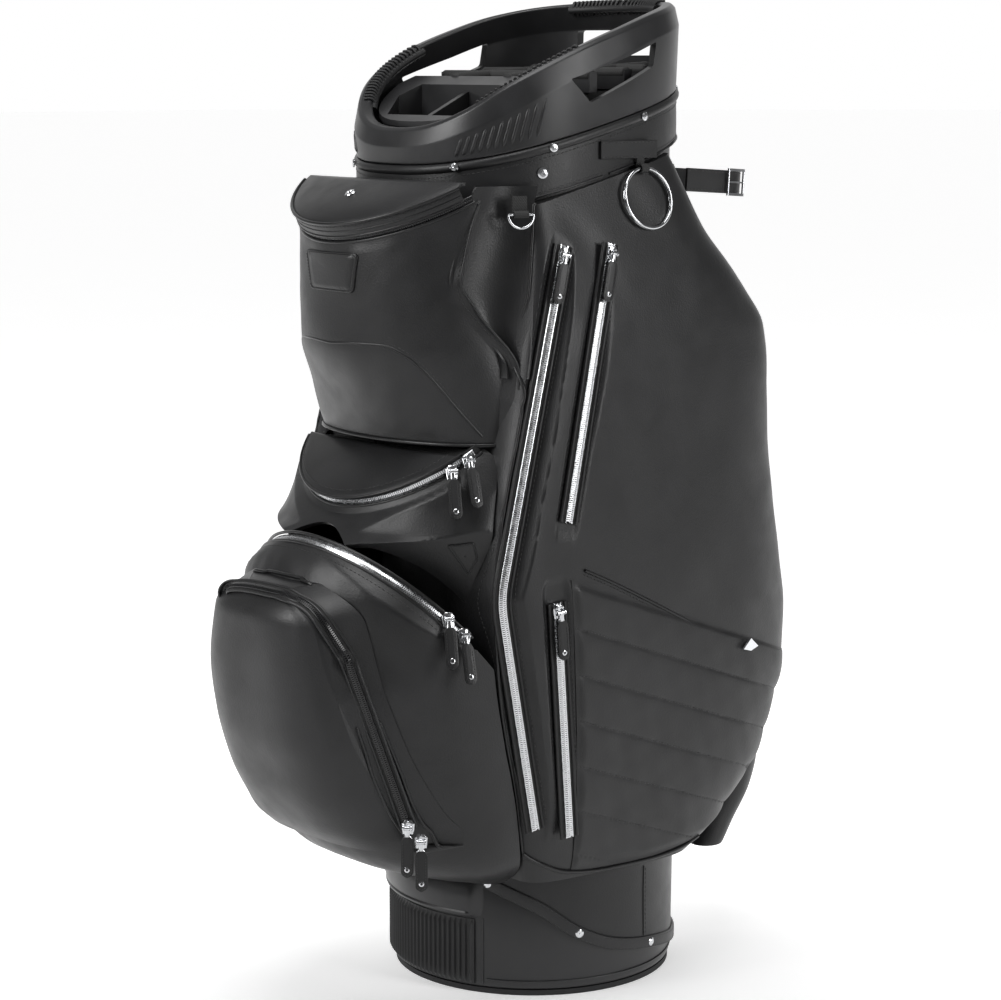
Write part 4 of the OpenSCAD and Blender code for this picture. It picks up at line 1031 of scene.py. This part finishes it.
piping("cooler_hem", C, unit(C - [0, -129, 525.5]), 1.7)
phi = np.linspace(-70, 70, 160)
arc_trim("cooler_rim", "cooler", 122.2, -.6, -70, 70, 1.5)
C = on_arc("cooler", 120.6, -3.4, phi)
face = outward("cooler", phi)
tape = put("cooler_tape", *swept(C, face, flat_prof(6, -.6, .6, 0, .2)), TAPE)
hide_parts("cooler_zip")
C = on_arc("cooler", 120.9, 3.0, phi)
chain("cooler_chain_low", C, face, BLACKCHAIN, rows=(1,), half=2.3)
chain("cooler_chain_high", C, face, BLACKCHAIN, body="cooler_lid", rows=(-1,), half=2.3)
lid_band = [(119.6, 5.2), (122.2, 5), (123, 6), (123, 9.4), (122.2, 10.4), (123, 11.4), (123, 16.4),
            (122.2, 17.6)]
top = lid("cooler_lid_cloth", "cooler", lid_band, 121.4, 18.6, 12, lambda h: 48.9 - .52 * h,
          66, 66, 756.6, "cooler_lid")
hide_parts("cooler_lid")
for r, h, size in ((122.6, 18.2, 1.7), (122.5, 5.2, 1.1)):
    arc_trim("cooler_lid_piping_%d" % h, "cooler", r, h, -66, 66, size, "cooler_lid")
phi = np.linspace(-64, 64, 150)
C = on_arc("cooler", 123.1, 14.8, phi)
stitch("cooler_lid_stitch", C, outward("cooler", phi), body="cooler_lid")
arc_trim("cooler_lid_tuck", "cooler", 122.4, 10.3, -66, 66, .9, "cooler_lid", LEATHER)

# eyelet on the crown of the lid, square to the leather
turn = np.linspace(0, 2 * np.pi, RADIAL + 1)[:-1]
eye = Skin(top).tree.ray_cast(Vector((0, -214, 800)), Vector((0, 0, -1)), 120)
up = unit(np.array(eye[1]) * np.sign(eye[1][2]))
e1 = unit(np.cross([0, 1, 0], up))
e2 = np.cross(up, e1)
rings = [(5.2, -.4), (5.2, .5), (4.3, 1.3), (2.8, 1.3), (2.1, .6), (2.1, -.6)]
V = np.vstack([np.array(eye[0]) + q * np.cos(turn)[:, None] * e1 + q * np.sin(turn)[:, None] * e2
               + w * up for q, w in rings])
put("cooler_eyelet", V, faces_of(6, RADIAL, wrap_m=True, wrap_n=True), CHROME, "cooler_lid")


def plate(name, pts, axis, lo, hi, mat, body="bag"):
    """Flat piece: an outline in the plane across an axis, from lo to hi along it."""
    return put(name, *extruded(np.array(pts, float), axis, lo, hi), mat, body)


lining = [[-88, 531], [88, 531], [101, 568], [105, 613], [105, 735], [-105, 735], [-105, 613],
          [-101, 568]]
plate("cooler_back_lining", lining, 1, -170.5, -167.5, FABRIC)
P = cooler(np.linspace(200, 340, 60), np.full(60, 524), -4)
plate("cooler_floor", P[:, :2], 2, 524.8, 529, FABRIC)

# blank label: a debossed border and stitching, no lettering
corners = np.array([[-34, 659], [31, 659], [38, 694], [-44, 694]], float)
corner_r, corner_steps = 5, 8
outline = []
for k, q in enumerate(corners):
    e, f = unit(corners[k - 1] - q) * corner_r, unit(corners[(k + 1) % 4] - q) * corner_r
    outline += [q + e * (1 - t)**2 + f * t**2 for t in np.linspace(0, 1, corner_steps)]
outline = np.vstack([outline, outline[:1]])
outline = resample(np.c_[outline, 0 * outline[:, 0]], 1.6)[:-1, :2]
mid = outline.mean(0)


def label(scale, lift):
    """Outline of the label, scaled about its middle and laid on the cooler's front."""
    p = mid + (outline - mid) * scale
    hits = [on_cool.tree.ray_cast(Vector((x, -300, z)), Vector((0, 1, 0)), 200) for x, z in p]
    return np.array([np.array(at) + lift * unit(np.array(n) * (-1 if n[1] > 0 else 1))
                     for at, n, *_ in hits])


rings = [label(k, w) for k, w in ((1, -.3), (1, 1.3), (.985, 1.7), (.93, 1.8), (.915, 1.25),
                                  (.90, 1.25), (.885, 1.75), (.7, 1.8), (.4, 1.8), (.12, 1.8))]
F = capped(len(rings), len(outline))
patch = put("label_leather", np.vstack(rings), F, LEATHER, sharp=60)
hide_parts("label_patch")
C = label(.955, 1.8)
stitch("label_stitch", resample(np.vstack([C, C[:1]]), .8), (0, -1, 0), pitch=2.9, width=.55)

# stitched free edges, and the gussets that run in behind them
for s, nm in SIDES:
    last, seam = (-1, -4) if s > 0 else (0, 3)
    N2 = WALL_N[26:-1, seam].mean(0)
    stitch("cooler_edge_stitch_" + nm, resample(WALL[26:-1, seam], 1.2), N2, lift=.1)
    piping("cooler_edge_" + nm, resample(WALL[20:-1, last], 2), N2, 1.3, mat=LEATHER)
    grid = []
    for z in np.linspace(585, 752, 40):
        A = np.array([free_x(z) - 7, free_y(z) - 6, z])
        E = side_at(side_front(z) + 5, z, 0)
        B = np.array([102, float(side_front(z)) - 12, z])
        t = np.linspace(0, 1, 24)[:, None]
        grid.append(A * (1 - t)**2 + 2 * B * t * (1 - t) + E * t**2)
    G = np.array(grid)
    V, F = between(G, G - normals_to(G, 20, 12, [1, -.3, 0]) * 2)
    put("cooler_gusset_" + nm, V * [s, 1, 1], F, LEATHER)

# ---- accessory pocket ---------------------------------------------------------------------------
# a pocket's plan at each height: (height, half width, front, squareness)
ACCESSORY = [[300, 145, -272, 2.1], [393, 145, -272, 2.1], [428, 145, -270, 2.1],
             [440, 143, -262, 1.9], [450, 142, -251, 1.7], [462, 140, -246, 1.6],
             [476, 138, -242, 1.55], [500, 134, -241, 1.5], [560, 128, -240, 1.5]]
BALL = [[114, 96, -152, 2.3], [128, 118, -205, 2.3], [140, 130, -232, 2.3], [152, 135, -247, 2.3],
        [176, 139, -262, 2.3], [250, 143, -288, 2.3], [301, 145, -295, 2.25], [320, 145, -297, 2.2],
        [350, 145, -297.5, 2.1], [393, 145, -297, 2.05], [416, 145, -289, 2], [444, 144, -268, 2]]
BOW = np.linspace(180, 360, 190)      # angles round a pocket, from the left to the right


def columns(rows):
    """One smooth function of height for each column of a plan."""
    return [smooth([[r[0], v] for r, v in zip(rows, col)]) for col in list(zip(*rows))[1:]]


def bow_of(rows):
    """Rounded pocket in front of the tube, as a function of angle and height."""
    rx, yf, n = columns(rows)

    def f(a, z):
        yc = front_edge(np.minimum(z, 520))
        x, y = oval(a, rx(z), yc - yf(z), n(z))
        return xyz(x, y + yc, z)
    return f


acc, ball = bow_of(ACCESSORY), bow_of(BALL)


def meet(f, k, lift, lo, hi):
    """Height at which each column of a pocket meets the plane of an arched zip."""
    y0, z0, slope, _ = ARC[k]
    lo, hi = np.full(len(BOW), float(lo)), np.full(len(BOW), float(hi))
    for _ in range(30):
        m = (lo + hi) / 2
        under = m < z0 + slope * (f(BOW, m)[:, 1] - y0) + lift
        lo, hi = np.where(under, m, lo), np.where(under, hi, m)
    return (lo + hi) / 2


def bow_cloth(f, lo, hi, steps, seed, size):
    """Leather of a pocket between two heights for each column, with soft folds."""
    v = np.linspace(0, 1, steps)[:, None]
    P = f(BOW[None], lo[None] * (1 - v) + hi[None] * v)
    N = normals_to(P, steps // 2, 95, [0, -1, 0])
    fade = ease(v / .08) * ease((1 - v) / .08)
    folds = waves(P, seed, 110, size, (1, 1, .8)) + waves(P, seed + 1, 38, size * .22)
    return P + N * (folds * fade)[..., None], N


lo, hi = meet(acc, "ball", 1, 300, 470), np.minimum(meet(acc, "accessory", -.3, 430, 560), 523)
P, N = bow_cloth(acc, lo, hi, 60, 41, .9)
P = held(P, "accessory", [-16, -10.6, -7, -5.6, 3], [160, 124.6, 119.3, 114.2, 114.2], -54, 78)
P = held(P, "ball", [0, 3, 3.4, 9.2, 14], [137.2, 137.2, 144, 144, 170], -80, 80)
acc_cloth = put("accessory_cloth", *between(P, P - N * 4), LEATHER)
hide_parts("accessory_pocket")
deck = np.linspace(0, 1, 20)[:, None]
rimline = on_arc("accessory", 113.5, -1.5, np.linspace(-68, 74, 120))
P = rimline[None] * (1 - deck[..., None] * .75) + np.array([0, -165, 519]) * deck[..., None] * .75
put("accessory_floor", *between(P, P - [0, 0, 3]), FABRIC)
phi = np.linspace(-56, 77, 170)
C = on_arc("accessory", 116.2, -2.8, phi)
tape = put("accessory_tape", *swept(C, outward("accessory", phi), flat_prof(8.4, -2.2, .2, 0, .3)),
           TAPE)
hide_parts("accessory_zip")
phi = np.linspace(-50, 74, 170)
C = on_arc("accessory", 116.2, -2.8, phi)
chain("accessory_chain", C, outward("accessory", phi), CHAIN, half=2.3, low=.3)
arc_trim("accessory_piping_low", "accessory", 117.8, -7.2, -60, 77, 1.5)
lid_band = [(116, .9), (118.4, .9), (119, 1.8), (118.9, 3.0)]
top = lid("accessory_lid_cloth", "accessory", lid_band, 117.6, 4.4, 6.5, lambda h: 39.8 + 1.3 * h,
          66, 69, 517.6, "accessory_lid")
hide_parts("accessory_lid")
arc_trim("accessory_lid_piping", "accessory", 118.3, 3.6, -65, 68, 1.4, "accessory_lid")
C = on_arc("accessory", 113.2, 7.9, np.linspace(-62, 66, 140))
stitch("accessory_lid_stitch", C, (0, -.58, .81), body="accessory_lid")

# ---- ball pocket --------------------------------------------------------------------------------
hi = meet(ball, "ball", -1, 250, 444)
P, N = bow_cloth(ball, np.full(len(BOW), 114.), hi, 90, 51, 1.2)
P = held(P, "ball", [-48, -36, -8, -7.6, -3.2, -3, 0],
         [230, 149, 144.2, 144.2, 144.2, 137.2, 137.2], -80, 80)
# the hem turns in under the pocket, towards the tube
under = []
for t in (1, .66, .33):
    row = P[0].copy()
    row[:, :2] = row[:, :2] * (1 - t * .45) + np.array([0, -60]) * t * .1
    under.append(row)
P = np.vstack([np.array(under), P])
N = np.vstack([np.repeat(N[:1] * 0 + [0, 0, -1], len(under), 0), N])
ball_cloth = put("ball_cloth", *between(P, P - N * 3.5), LEATHER)
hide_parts("ball_pocket")
on_ball = Skin(ball_cloth, acc_cloth)
phi = np.linspace(-78, 78, 240)
tape = put("ball_tape", *swept(on_arc("ball", 139.2, 0, phi), outward("ball", phi),
                               flat_prof(11, -2.4, .5, 0, .3)), TAPE)
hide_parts("ball_zip")
phi = np.linspace(-76, 76, 240)
C = on_arc("ball", 139.6, 0, phi)
chain("ball_chain", C, outward("ball", phi), CHAIN, half=3.0, low=.6)
arc_trim("ball_piping_low", "ball", 143.2, -5.4, -78, 78, 1.6)
arc_trim("ball_piping_high", "ball", 142.4, 5.2, -78, 78, 1.5)
C = on_arc("ball", 146, -12, np.linspace(-72, 72, 200))
stitch("ball_stitch", *on_ball.lay(C, 2, .1, curve=False))

# ---- front pocket -------------------------------------------------------------------------------
FRONT = [[166, 112, -268], [178, 114, -281], [191, 111, -290], [229, 105, -311], [280, 97, -328],
         [338, 84, -333], [372, 76, -331], [392, 66, -327], [402, 52, -322]]
pw, pf = columns(FRONT)
panel_front = lambda x, yf: -145 + (yf + 145) * np.maximum(0, 1 - (np.abs(x) / 121)**3)**(1 / 3)
bx, by, bn = columns(BALL)


def ball_front(x, z):
    yc = front_edge(z)
    return yc + (by(z) - yc) * np.maximum(0, 1 - (np.abs(x) / bx(z))**bn(z))**(1 / bn(z))


ZIPS_FRONT = ([95, -293, 350], [118, -243, 192], 38)
sc = np.sin(np.linspace(-np.pi / 2, np.pi / 2, 110))
z = np.r_[166, 168, 172, np.linspace(178, 396, 90), 399, 401, 402]
w = pw(z)[:, None] * np.r_[.97, .99, 1, np.ones(90), 1, .98, .95][:, None]
head = np.clip((z - 372) / 30, 0, 1)[:, None]
w = w * np.sqrt(1 - .72 * head**2)
P = xyz(sc * w, panel_front(sc * w, pf(z)[:, None]) + 9 * head**2.5, z[:, None])
N = normals_to(P, 50, 55, [0, -1, 0])
fade = ease((z[:, None] - 166) / 25) * ease((402 - z[:, None]) / 25) * ease((1 - np.abs(sc)) / .2)
P = P + N * ((waves(P, 61, 90, 1.4, (1, 1, .8)) + 1.5) * fade)[..., None]
P = press(P, ZIPS_FRONT, half=8.4, up=6, down=10)
wi = (np.minimum(pw(z) + 17, 132) * np.sqrt(1 - .5 * head[:, 0]**2))[:, None]
zi = (z + 6)[:, None]
Q = xyz(sc * wi, ball_front(sc * wi, zi) + 1.5 - 3 * sc * sc, zi)
# the panel's walls run from its face P back to its foot Q: first the two sides, then top and bottom
wall_steps, end_steps = (.12, .3, .6, 1), (.15, .35, .65, 1)
side_wall = lambda k, steps: [P[:, k] * (1 - t) + Q[:, k] * t for t in steps]
left_wall = np.stack(side_wall(0, wall_steps[::-1]), 1)
right_wall = np.stack(side_wall(-1, wall_steps), 1)
G = np.concatenate([left_wall, P, right_wall], 1)
foot = np.concatenate([np.repeat(Q[:, :1], 4, 1), Q, np.repeat(Q[:, -1:], 4, 1)], 1)
end_wall = lambda k, steps: np.array([G[k] * (1 - t) + foot[k] * t for t in steps])
G = np.concatenate([end_wall(0, end_steps[::-1]), G, end_wall(-1, end_steps)], 0)
N = normals_to(G, 50, 55, [0, -1, 0])
pocket = put("front_cloth", *between(G, G - N * 2.5), LEATHER, sharp=60)
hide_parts("front_pocket")
on_front = Skin(pocket)
inner = [(9, -322, 401), (57, -316, 401), (72, -308, 382), (84, -299, 338), (97, -282, 280),
         (105, -267, 229), (111, -249, 191), (114, -238, 178)]
outer = [(28, -294, 411), (63, -288, 387), (84, -280, 349), (102, -269, 301), (117, -254, 248),
         (129, -236, 193), (137, -219, 169)]
left_of = lambda pts: [(-p[0], p[1], p[2]) for p in pts if p[0] > 50][::-1]
C, N = on_front.lay(left_of(inner) + [(-41, -322, 399)] + inner, 1.5, .3)
piping("front_piping_inner", C, N, 1.4)
C, N = Skin(ball_cloth, acc_cloth, pocket).lay(left_of(outer) + [(-28, -294, 411)] + outer, 1.5, .5)
piping("front_piping_outer", C, N, 1.7)
q, u, x, out, L = zip_frame(ZIPS_FRONT)
run = q + np.linspace(L, 0, 80)[:, None] * u
over_top = [(-58, -316, 388), (-20, -321, 404), (9, -321, 406), (45, -317, 405), (66, -311, 396),
            (80, -304, 376), (90, -297, 360), tuple(run[0])]
lead, leadN = on_front.lay(over_top, 1.5, .8)
C = resample(np.vstack([lead[:-2], run]), 1.2)
share = len(lead) / (len(lead) + 106)
where = np.r_[np.linspace(0, share, len(lead)), np.linspace(share, 1, 80)]
N = unit(at_lengths(np.linspace(0, 1, len(C)), where, np.vstack([leadN, np.tile(out, (80, 1))])))
settle(20, C, N)
tape = put("front_tape", *swept(C, N, flat_prof(12, -.3, 1.0, 0, .3)), TAPE)
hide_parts("front_zip")
chain("front_chain", C, N, BLACKCHAIN, half=2.4, low=1.1)
T, B, M = frames(C, N)
for k in (-1, 1):
    W = C + B * k * 6.6
    put("front_welt_" + "ab"[k > 0], *swept(W, N, round_prof(1.3, 10, 1.1, .6)), LEATHER)

# triangular patch between the ball and the side pocket
tri = [(137, -212, 432), (145, -189, 438), (146, -185, 422), (143, -194, 402)]
C, N = on_ball.lay(tri + tri[:1], 1.2, .5, curve=False)
piping("patch_edge", C, N, .9)
mid = C.mean(0)
Cp = np.array([mid + (C - mid) * k + N * (.8 if k < .95 else .4) for k in (1, .9, .6, .3, .05)])
put("patch_leather", *between(Cp, Cp - N * .7), LEATHER)

# ---- side pockets: piping, quilt and panels -----------------------------------------------------
def on_side(s, pts, step=2.0, lift=.2):
    """Line through (depth, height) points on the face of one side pocket."""
    P = np.array([side_at(y, z, 1.0) for y, z in pts]) * [s, 1, 1]
    return SIDE[s].lay(P, step, lift)


seam_z = lambda y: 380 - .36 * (y + 20)
hem_of = straight([[-150, 138], [-78, 122], [22, 117], [101, 125], [150, 150], [205, 205],
                   [222, 250]])
channel = 42                 # height of one quilted channel
quilt_rows, quilt_cols = 150, 130
for s, nm in SIDES:
    C, N = on_side(s, [(-82, 412), (-49, 397), (78, 334), (150, 301), (205, 278)])
    piping("seam_piping_" + nm, C, N, 1.5)
    stitch("seam_stitch_" + nm, C, N, 3.8 * s, lift=.1)
    C, N = on_side(s, [(-125, 150), (-78, 127), (-20, 120), (22, 119.5), (70, 122), (95, 128)])
    piping("hem_piping_" + nm, C, N, 1.9)
    edge = side(np.full(70, 86.), np.linspace(122, 750, 70), .6) * [s, 1, 1]
    C, N = SIDE[s].lay(edge, 3, .3, curve=False)
    piping("back_piping_" + nm, C, N, 1.7)
    C, N = on_side(s, [(-107, 747), (-122, 654), (-131, 611), (-134, 567), (-150, 506), (-167, 428),
                       (-170, 393), (-161, 301), (-138, 206), (-124, 145)])
    piping("front_edge_piping_" + nm, C, N, 1.5)
    # padded quilting below the seam
    z_at = np.linspace(0, 1, quilt_rows)[:, None]
    start = np.interp(np.linspace(386, 150, quilt_rows), [165, 386], [-88, -112])[:, None] + 14
    sw = np.linspace(0, 1, quilt_cols)[None]
    zz = 250 + 0 * z_at * sw
    for _ in range(12):
        y = start + (side_back(zz) - 7 - start) * sw
        seam = seam_z(y) - 3
        floor_z = np.maximum(hem_of(y) + 4, 122)
        zz = seam + (np.minimum(floor_z, seam - 1) - seam) * z_at
    P = side_at(y, zz, 0)
    for _ in range(2):
        P[1:-1, 1:-1] = (P[1:-1, 1:-1] * 2 + P[:-2, 1:-1] + P[2:, 1:-1]) / 4
    N = normals_to(P, 70, 40, [1, 0, 0])
    below = seam - zz
    rim = ease(z_at / .03) * ease((1 - z_at) / .05) * ease(sw / .03) * ease((1 - sw) / .06)
    puff = (.9 + 3.0 * np.abs(np.sin(np.pi * below / channel))**.45 * rim
            + waves(P, 71, 36, .25) * rim)
    face = P + N * puff[..., None]
    V, F = between(face, P - N * .6)
    quilt = put("quilt_" + nm, V * [s, 1, 1], F, QUILT, sharp=60)
    if s > 0:
        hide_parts("quilt_panels")
    for k in range(1, 6):
        line = [face[int(np.argmin(np.abs(below[:, j] - channel * k))), j]
                for j in range(0, quilt_cols, 2) if below[-1, j] > channel * k + 6]
        if len(line) > 6:
            stitch("quilt_stitch_%s_%d" % (nm, k), resample(np.array(line), 1.5) * [s, 1, 1],
                   np.array([s, 0, 0]), pitch=4.0, width=.7)

# ---- sliders and pulls --------------------------------------------------------------------------
def turned_x(angle):
    c, s = math.cos(math.radians(angle)), math.sin(math.radians(angle))
    return np.array([[1, 0, 0], [0, c, -s], [0, s, c]])


def turned_z(angle):
    c, s = math.cos(math.radians(angle)), math.sin(math.radians(angle))
    return np.array([[c, -s, 0], [s, c, 0], [0, 0, 1]])


def at_slot(p, az, lean):
    """Places a slider or pull at a pin: where it is, the way it faces and how far it leans."""
    M = turned_z(az) @ turned_x(-lean)
    return lambda V: V @ M.T + p


def at_zip(z, s=1):
    """Places a slider or pull near the top of a straight zip."""
    q, u, x, out, L = zip_frame(z)
    p = np.array(z[0]) - 8 * u + facing(z[2]) * 9.1
    M = np.stack([x, -out, u], -1)
    return lambda V: (V @ M.T + p) * [s, 1, 1]


SLOTS = {"accessory": ([114.2, -190, 505.6], 60, 25), "accessory_b": ([121.9, -176.3, 515.1], 70, 25),
         "ball": ([138.8, -214.4, 380.5], 62, 20), "ball_b": ([145.8, -201.6, 365.8], 70, 20),
         "front": ([124.5, -251, 196], 42, 2), "front_b": ([134.4, -243.4, 184], 54, 2)}
for k in ("accessory", "ball", "front"):
    moving = slider(k + "_slider_body", at_slot(*SLOTS[k]), k + "_slider")
    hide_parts(k + "_slider")
    parked = slider(k + "_parked", at_slot(*SLOTS[k + "_b"]), "bag")
    if k == "accessory":
        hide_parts("parked_sliders")
    pull(k + "_tab", at_slot(*SLOTS[k]), k + "_pull")
    pull(k + "_tab_b", at_slot(*SLOTS[k + "_b"]), k + "_pull_b")
    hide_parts(k + "_pull")
    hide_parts(k + "_pull_b")
for z, s, sl, pl in (("long", 1, "long_slider_right", "long_pull_right"),
                     ("upper", 1, "upper_slider", "upper_pull"),
                     ("lower", 1, "lower_slider", "lower_pull"),
                     ("long", -1, "long_slider_left", "long_pull_left")):
    ob = slider(sl + "_body", at_zip(ZIPS[z], s), sl)
    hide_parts(sl)
    pull(pl + "_tab", at_zip(ZIPS[z], s), pl)
    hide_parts(pl)

# ---- webbing, umbrella parts and shoulder strap -------------------------------------------------
def web_ring(at, width, hole, up, turn=0.0):
    """Loop of webbing round a ring's bar, with its tail up the bag."""
    t = np.radians(np.r_[np.linspace(180, -90, 28), np.linspace(-100, -180, 6)])
    r = hole + .9
    loop = xyz(r * np.cos(t), 0, r * np.sin(t))
    tail = xyz(-r, 0, np.linspace(up, .5, 12))
    C = np.vstack([tail, loop])
    N = np.vstack([np.tile([1., 0, 0], (12, 1)), unit(loop * [1, 0, 1])])
    V, F = swept(C, N, flat_prof(width, -.55, .55, 0, .3))
    return V @ turned_z(turn).T + at, F


tabs = put("webbing_loops", *join([web_ring(np.array([134, 16, 765]), 9, 2.9, 24),
                                   web_ring(np.array([129, -125, 728]), 14, 1.75, 16, -18)]), FABRIC)
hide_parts("webbing_tabs")
C = xyz(129.6, np.linspace(-32, 36, 40), 782)
put("towel_strip", *swept(C, (1, 0, 0), flat_prof(16, -2.4, 1.2, 0, .4)), LEATHER)
for k, e in (("a", -6.4), ("b", 6.4)):
    stitch("towel_strip_stitch_" + k, C, (1, 0, 0), e, lift=1.2)

t = np.radians(np.linspace(0, 180, 50))
cx, cy, bend_r = 53, 60, 21.7         # middle and radius of the loop's bend
loop = np.vstack([xyz(cx - bend_r, np.linspace(-1, cy, 32), 0),
                  xyz(cx - bend_r * np.cos(t), cy + bend_r * np.sin(t), 0),
                  xyz(cx + bend_r, np.linspace(cy, -1, 32), 0)])
loop = resample(loop, 2)
N = unit(np.where(loop[:, 1:2] > cy, loop - [cx, cy, 0], (loop - [cx, 0, 0]) * [1, 0, 0]))
V, F = swept(loop, N, flat_prof(22, -1.2, 1.1, .2, .5))
M = turned_x(-4)
place = lambda V: V @ M.T + [0, 128, 750]
band = put("umbrella_band", place(V), F, LEATHER)
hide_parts("umbrella_strap")
for k, e in (("a", -8.8), ("b", 8.8)):
    stitch("umbrella_stitch_" + k, place(loop), N @ M.T, e, lift=1.1)

cone_y, cone_r = smooth([[84, 192], [165, 226], [250, 232]]), smooth([[84, 17], [165, 26], [250, 28]])
z = np.r_[84, 84.6, np.linspace(87, 248, 40), 249.4, 250]
aa = np.radians(np.linspace(0, 360, 61)[:-1])
rr = cone_r(z)[:, None] * np.r_[.9, .97, np.ones(40), .99, .96][:, None]
P = xyz(44 + rr * np.cos(aa), cone_y(z)[:, None] + rr * np.sin(aa), z[:, None])
N = unit((P - xyz(44, cone_y(z)[:, None], z[:, None])))
P = P + N * waves(P, 81, 50, .5)[..., None]
sleeve = put("umbrella_cone", *between(P, P - N * 2.4, True), LEATHER)
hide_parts("umbrella_sleeve")
piping("umbrella_cone_rim", P[-2], N[-2], 1.8, closed=True)
gusset = [[134, 116], [176.2, 101], [200, 165], [204.8, 240], [134, 240]]
plate("umbrella_gusset", gusset, 0, 42.5, 45.5, LEATHER)

# (height, depth, half width, thickness) down the strap
STRAP = [[745, 133, 11, 3], [722, 165, 13, 3], [712, 183, 15, 5], [690, 190, 24, 11],
         [620, 200, 27, 13], [520, 202, 27, 13], [430, 192, 25, 11], [370, 165, 14, 3],
         [340, 137, 11, 3]]
path = spline([(5, r[1], r[0]) for r in STRAP], 3)
hw, th = (np.interp(-path[:, 2], [-r[0] for r in STRAP], [r[k] for r in STRAP]) for k in (2, 3))
soften(6, hw, th)
T, B, M3 = frames(path, np.broadcast_to([0., 1., 0.], path.shape))
web = put("strap_webbing", *swept(path + M3 * 1.5, M3, flat_prof(21, -1.1, 1.1, 0, .5)), FABRIC,
          "shoulder_strap")
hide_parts("shoulder_strap")
inside = (path[:, 2] < 706) & (path[:, 2] > 392)
pad_path, hw2, th2 = path[inside], hw[inside], th[inside]
e = np.linspace(0, 1, len(pad_path))
taper = np.clip(np.minimum(e, 1 - e) / .035, 0, 1)**.5
wide, deep = hw2 * (.8 + .2 * taper), th2 * .5 * (.3 + .7 * taper)
prof = []
for t in np.linspace(0, 2 * np.pi, 41)[:-1]:
    c, s = math.cos(t), math.sin(t)
    prof.append(np.stack([wide * np.sign(c) * abs(c)**.6,
                          th2 * .5 + deep * np.sign(s) * abs(s)**.75], -1))
pad = put("strap_pad", *swept(pad_path, M3[inside], np.stack(prof, 1)), QUILT, "shoulder_strap",
          sharp=0)
for k in (-1, 1):
    stitch("strap_stitch_" + "ab"[k > 0], pad_path[6:-6], M3[inside][6:-6], k * 18, "shoulder_strap",
           lift=12.4)
V, F = block(-13, 13, -2, 4, -4, 4)
put("strap_adjuster", V + [5, 176, 384], F, MOULD, "shoulder_strap")


# ---- anything still plain gets its own finish ------------------------------------------------
FINISH = {"base_sole": RUBBER, "stays": STAY, "divider_top": MOULD, "divider_bars": MOULD,
          "divider_panels": FABRIC, "rivets": CHROME, "snap_sockets": CHROME, "towel_ring": CHROME,
          "d_ring": CHROME, "umbrella_buckle": CHROME, "strap_hardware": CHROME, "emblem": CHROME}
for n, ob in frame["nodes"].items():
    ob.data.materials.clear()
    ob.data.materials.append(FINISH.get(n, LEATHER)[0])

# ---- floor, light and camera -------------------------------------------------------------------
me = bpy.data.meshes.new("floor")
reach, sink = 40, -.0002
me.from_pydata([(x * reach, y * reach, sink) for x, y in ((-1, -1), (1, -1), (1, 1), (-1, 1))], [],
               [(0, 1, 2, 3)])
floor = bpy.data.objects.new("floor", me)
bpy.context.scene.collection.objects.link(floor)
LOOK = (-.766, .643, 0)      # the way the camera looks, on the level
m, nt, b, at = shader("pale_floor_painted_glow")
grain = tex(nt, "ShaderNodeTexNoise", at, Scale=3., Detail=4.)
pale = ramp(nt, grain.outputs[0], [(.3, (.84,) * 3), (.7, (.87,) * 3)])
nt.links.new(pale, b.inputs["Base Color"])
b.inputs["Roughness"].default_value = .9


def towards(nt, where, lo, hi, first, last):
    """Value that goes from first to last while the distance along LOOK grows from lo to hi."""
    dot = nt.nodes.new("ShaderNodeVectorMath")
    dot.operation = "DOT_PRODUCT"
    dot.inputs[1].default_value = LOOK
    nt.links.new(where, dot.inputs[0])
    r = nt.nodes.new("ShaderNodeMapRange")
    r.interpolation_type = "SMOOTHSTEP"
    for k, v in zip(("From Min", "From Max", "To Min", "To Max"), (lo, hi, first, last)):
        r.inputs[k].default_value = v
    nt.links.new(dot.outputs["Value"], r.inputs["Value"])
    return r.outputs["Result"]


# painted glow: the floor emits white, none on the camera's side of the bag and up to .8 beyond it
# along LOOK, so it shows bright there whatever light or shadow falls on it
b.inputs["Emission Color"].default_value = (1, 1, 1, 1)
nt.links.new(towards(nt, at, -.45, .35, .0, .80), b.inputs["Emission Strength"])
me.materials.append(m)

world = bpy.data.worlds.new("studio")
world.use_nodes = True
nt = world.node_tree
bg = nt.nodes["Background"]
bg.inputs[0].default_value = (1, 1, 1, 1)
way = nt.nodes.new("ShaderNodeTexCoord").outputs["Generated"]
nt.links.new(towards(nt, way, .55, .93, .10, 1.0), bg.inputs[1])
bpy.context.scene.world = world
bpy.context.scene.view_settings.view_transform = "Standard"


def area(name, at, to, size, power):
    l = bpy.data.lights.new(name, "AREA")
    l.shape, l.size, l.size_y, l.energy = "RECTANGLE", size[0], size[1], power
    ob = bpy.data.objects.new(name, l)
    bpy.context.scene.collection.objects.link(ob)
    ob.location = at
    ob.rotation_euler = (Vector(to) - Vector(at)).to_track_quat("-Z", "Y").to_euler()


area("key", (-.6, -2.6, 1.9), (0, -.1, .5), (1.2, 1.8), 55)
area("side", (2.9, .9, 1.5), (.1, 0, .5), (.9, 2.0), 45)
area("top", (.3, -.4, 3.0), (0, 0, .6), (1.6, 1.6), 40)

cam = bpy.data.cameras.new("camera")
cam.sensor_width, cam.lens = 36, 2758 / 1001 * 36
camera = bpy.data.objects.new("camera", cam)
bpy.context.scene.collection.objects.link(camera)
camera.location = (1.9718, -1.6950, .860)
p = math.radians(9.03)
look = Vector((-.766 * math.cos(p), .643 * math.cos(p), -math.sin(p)))
camera.rotation_euler = look.to_track_quat("-Z", "Y").to_euler()
cam.clip_end = 50
bpy.context.scene.camera = camera
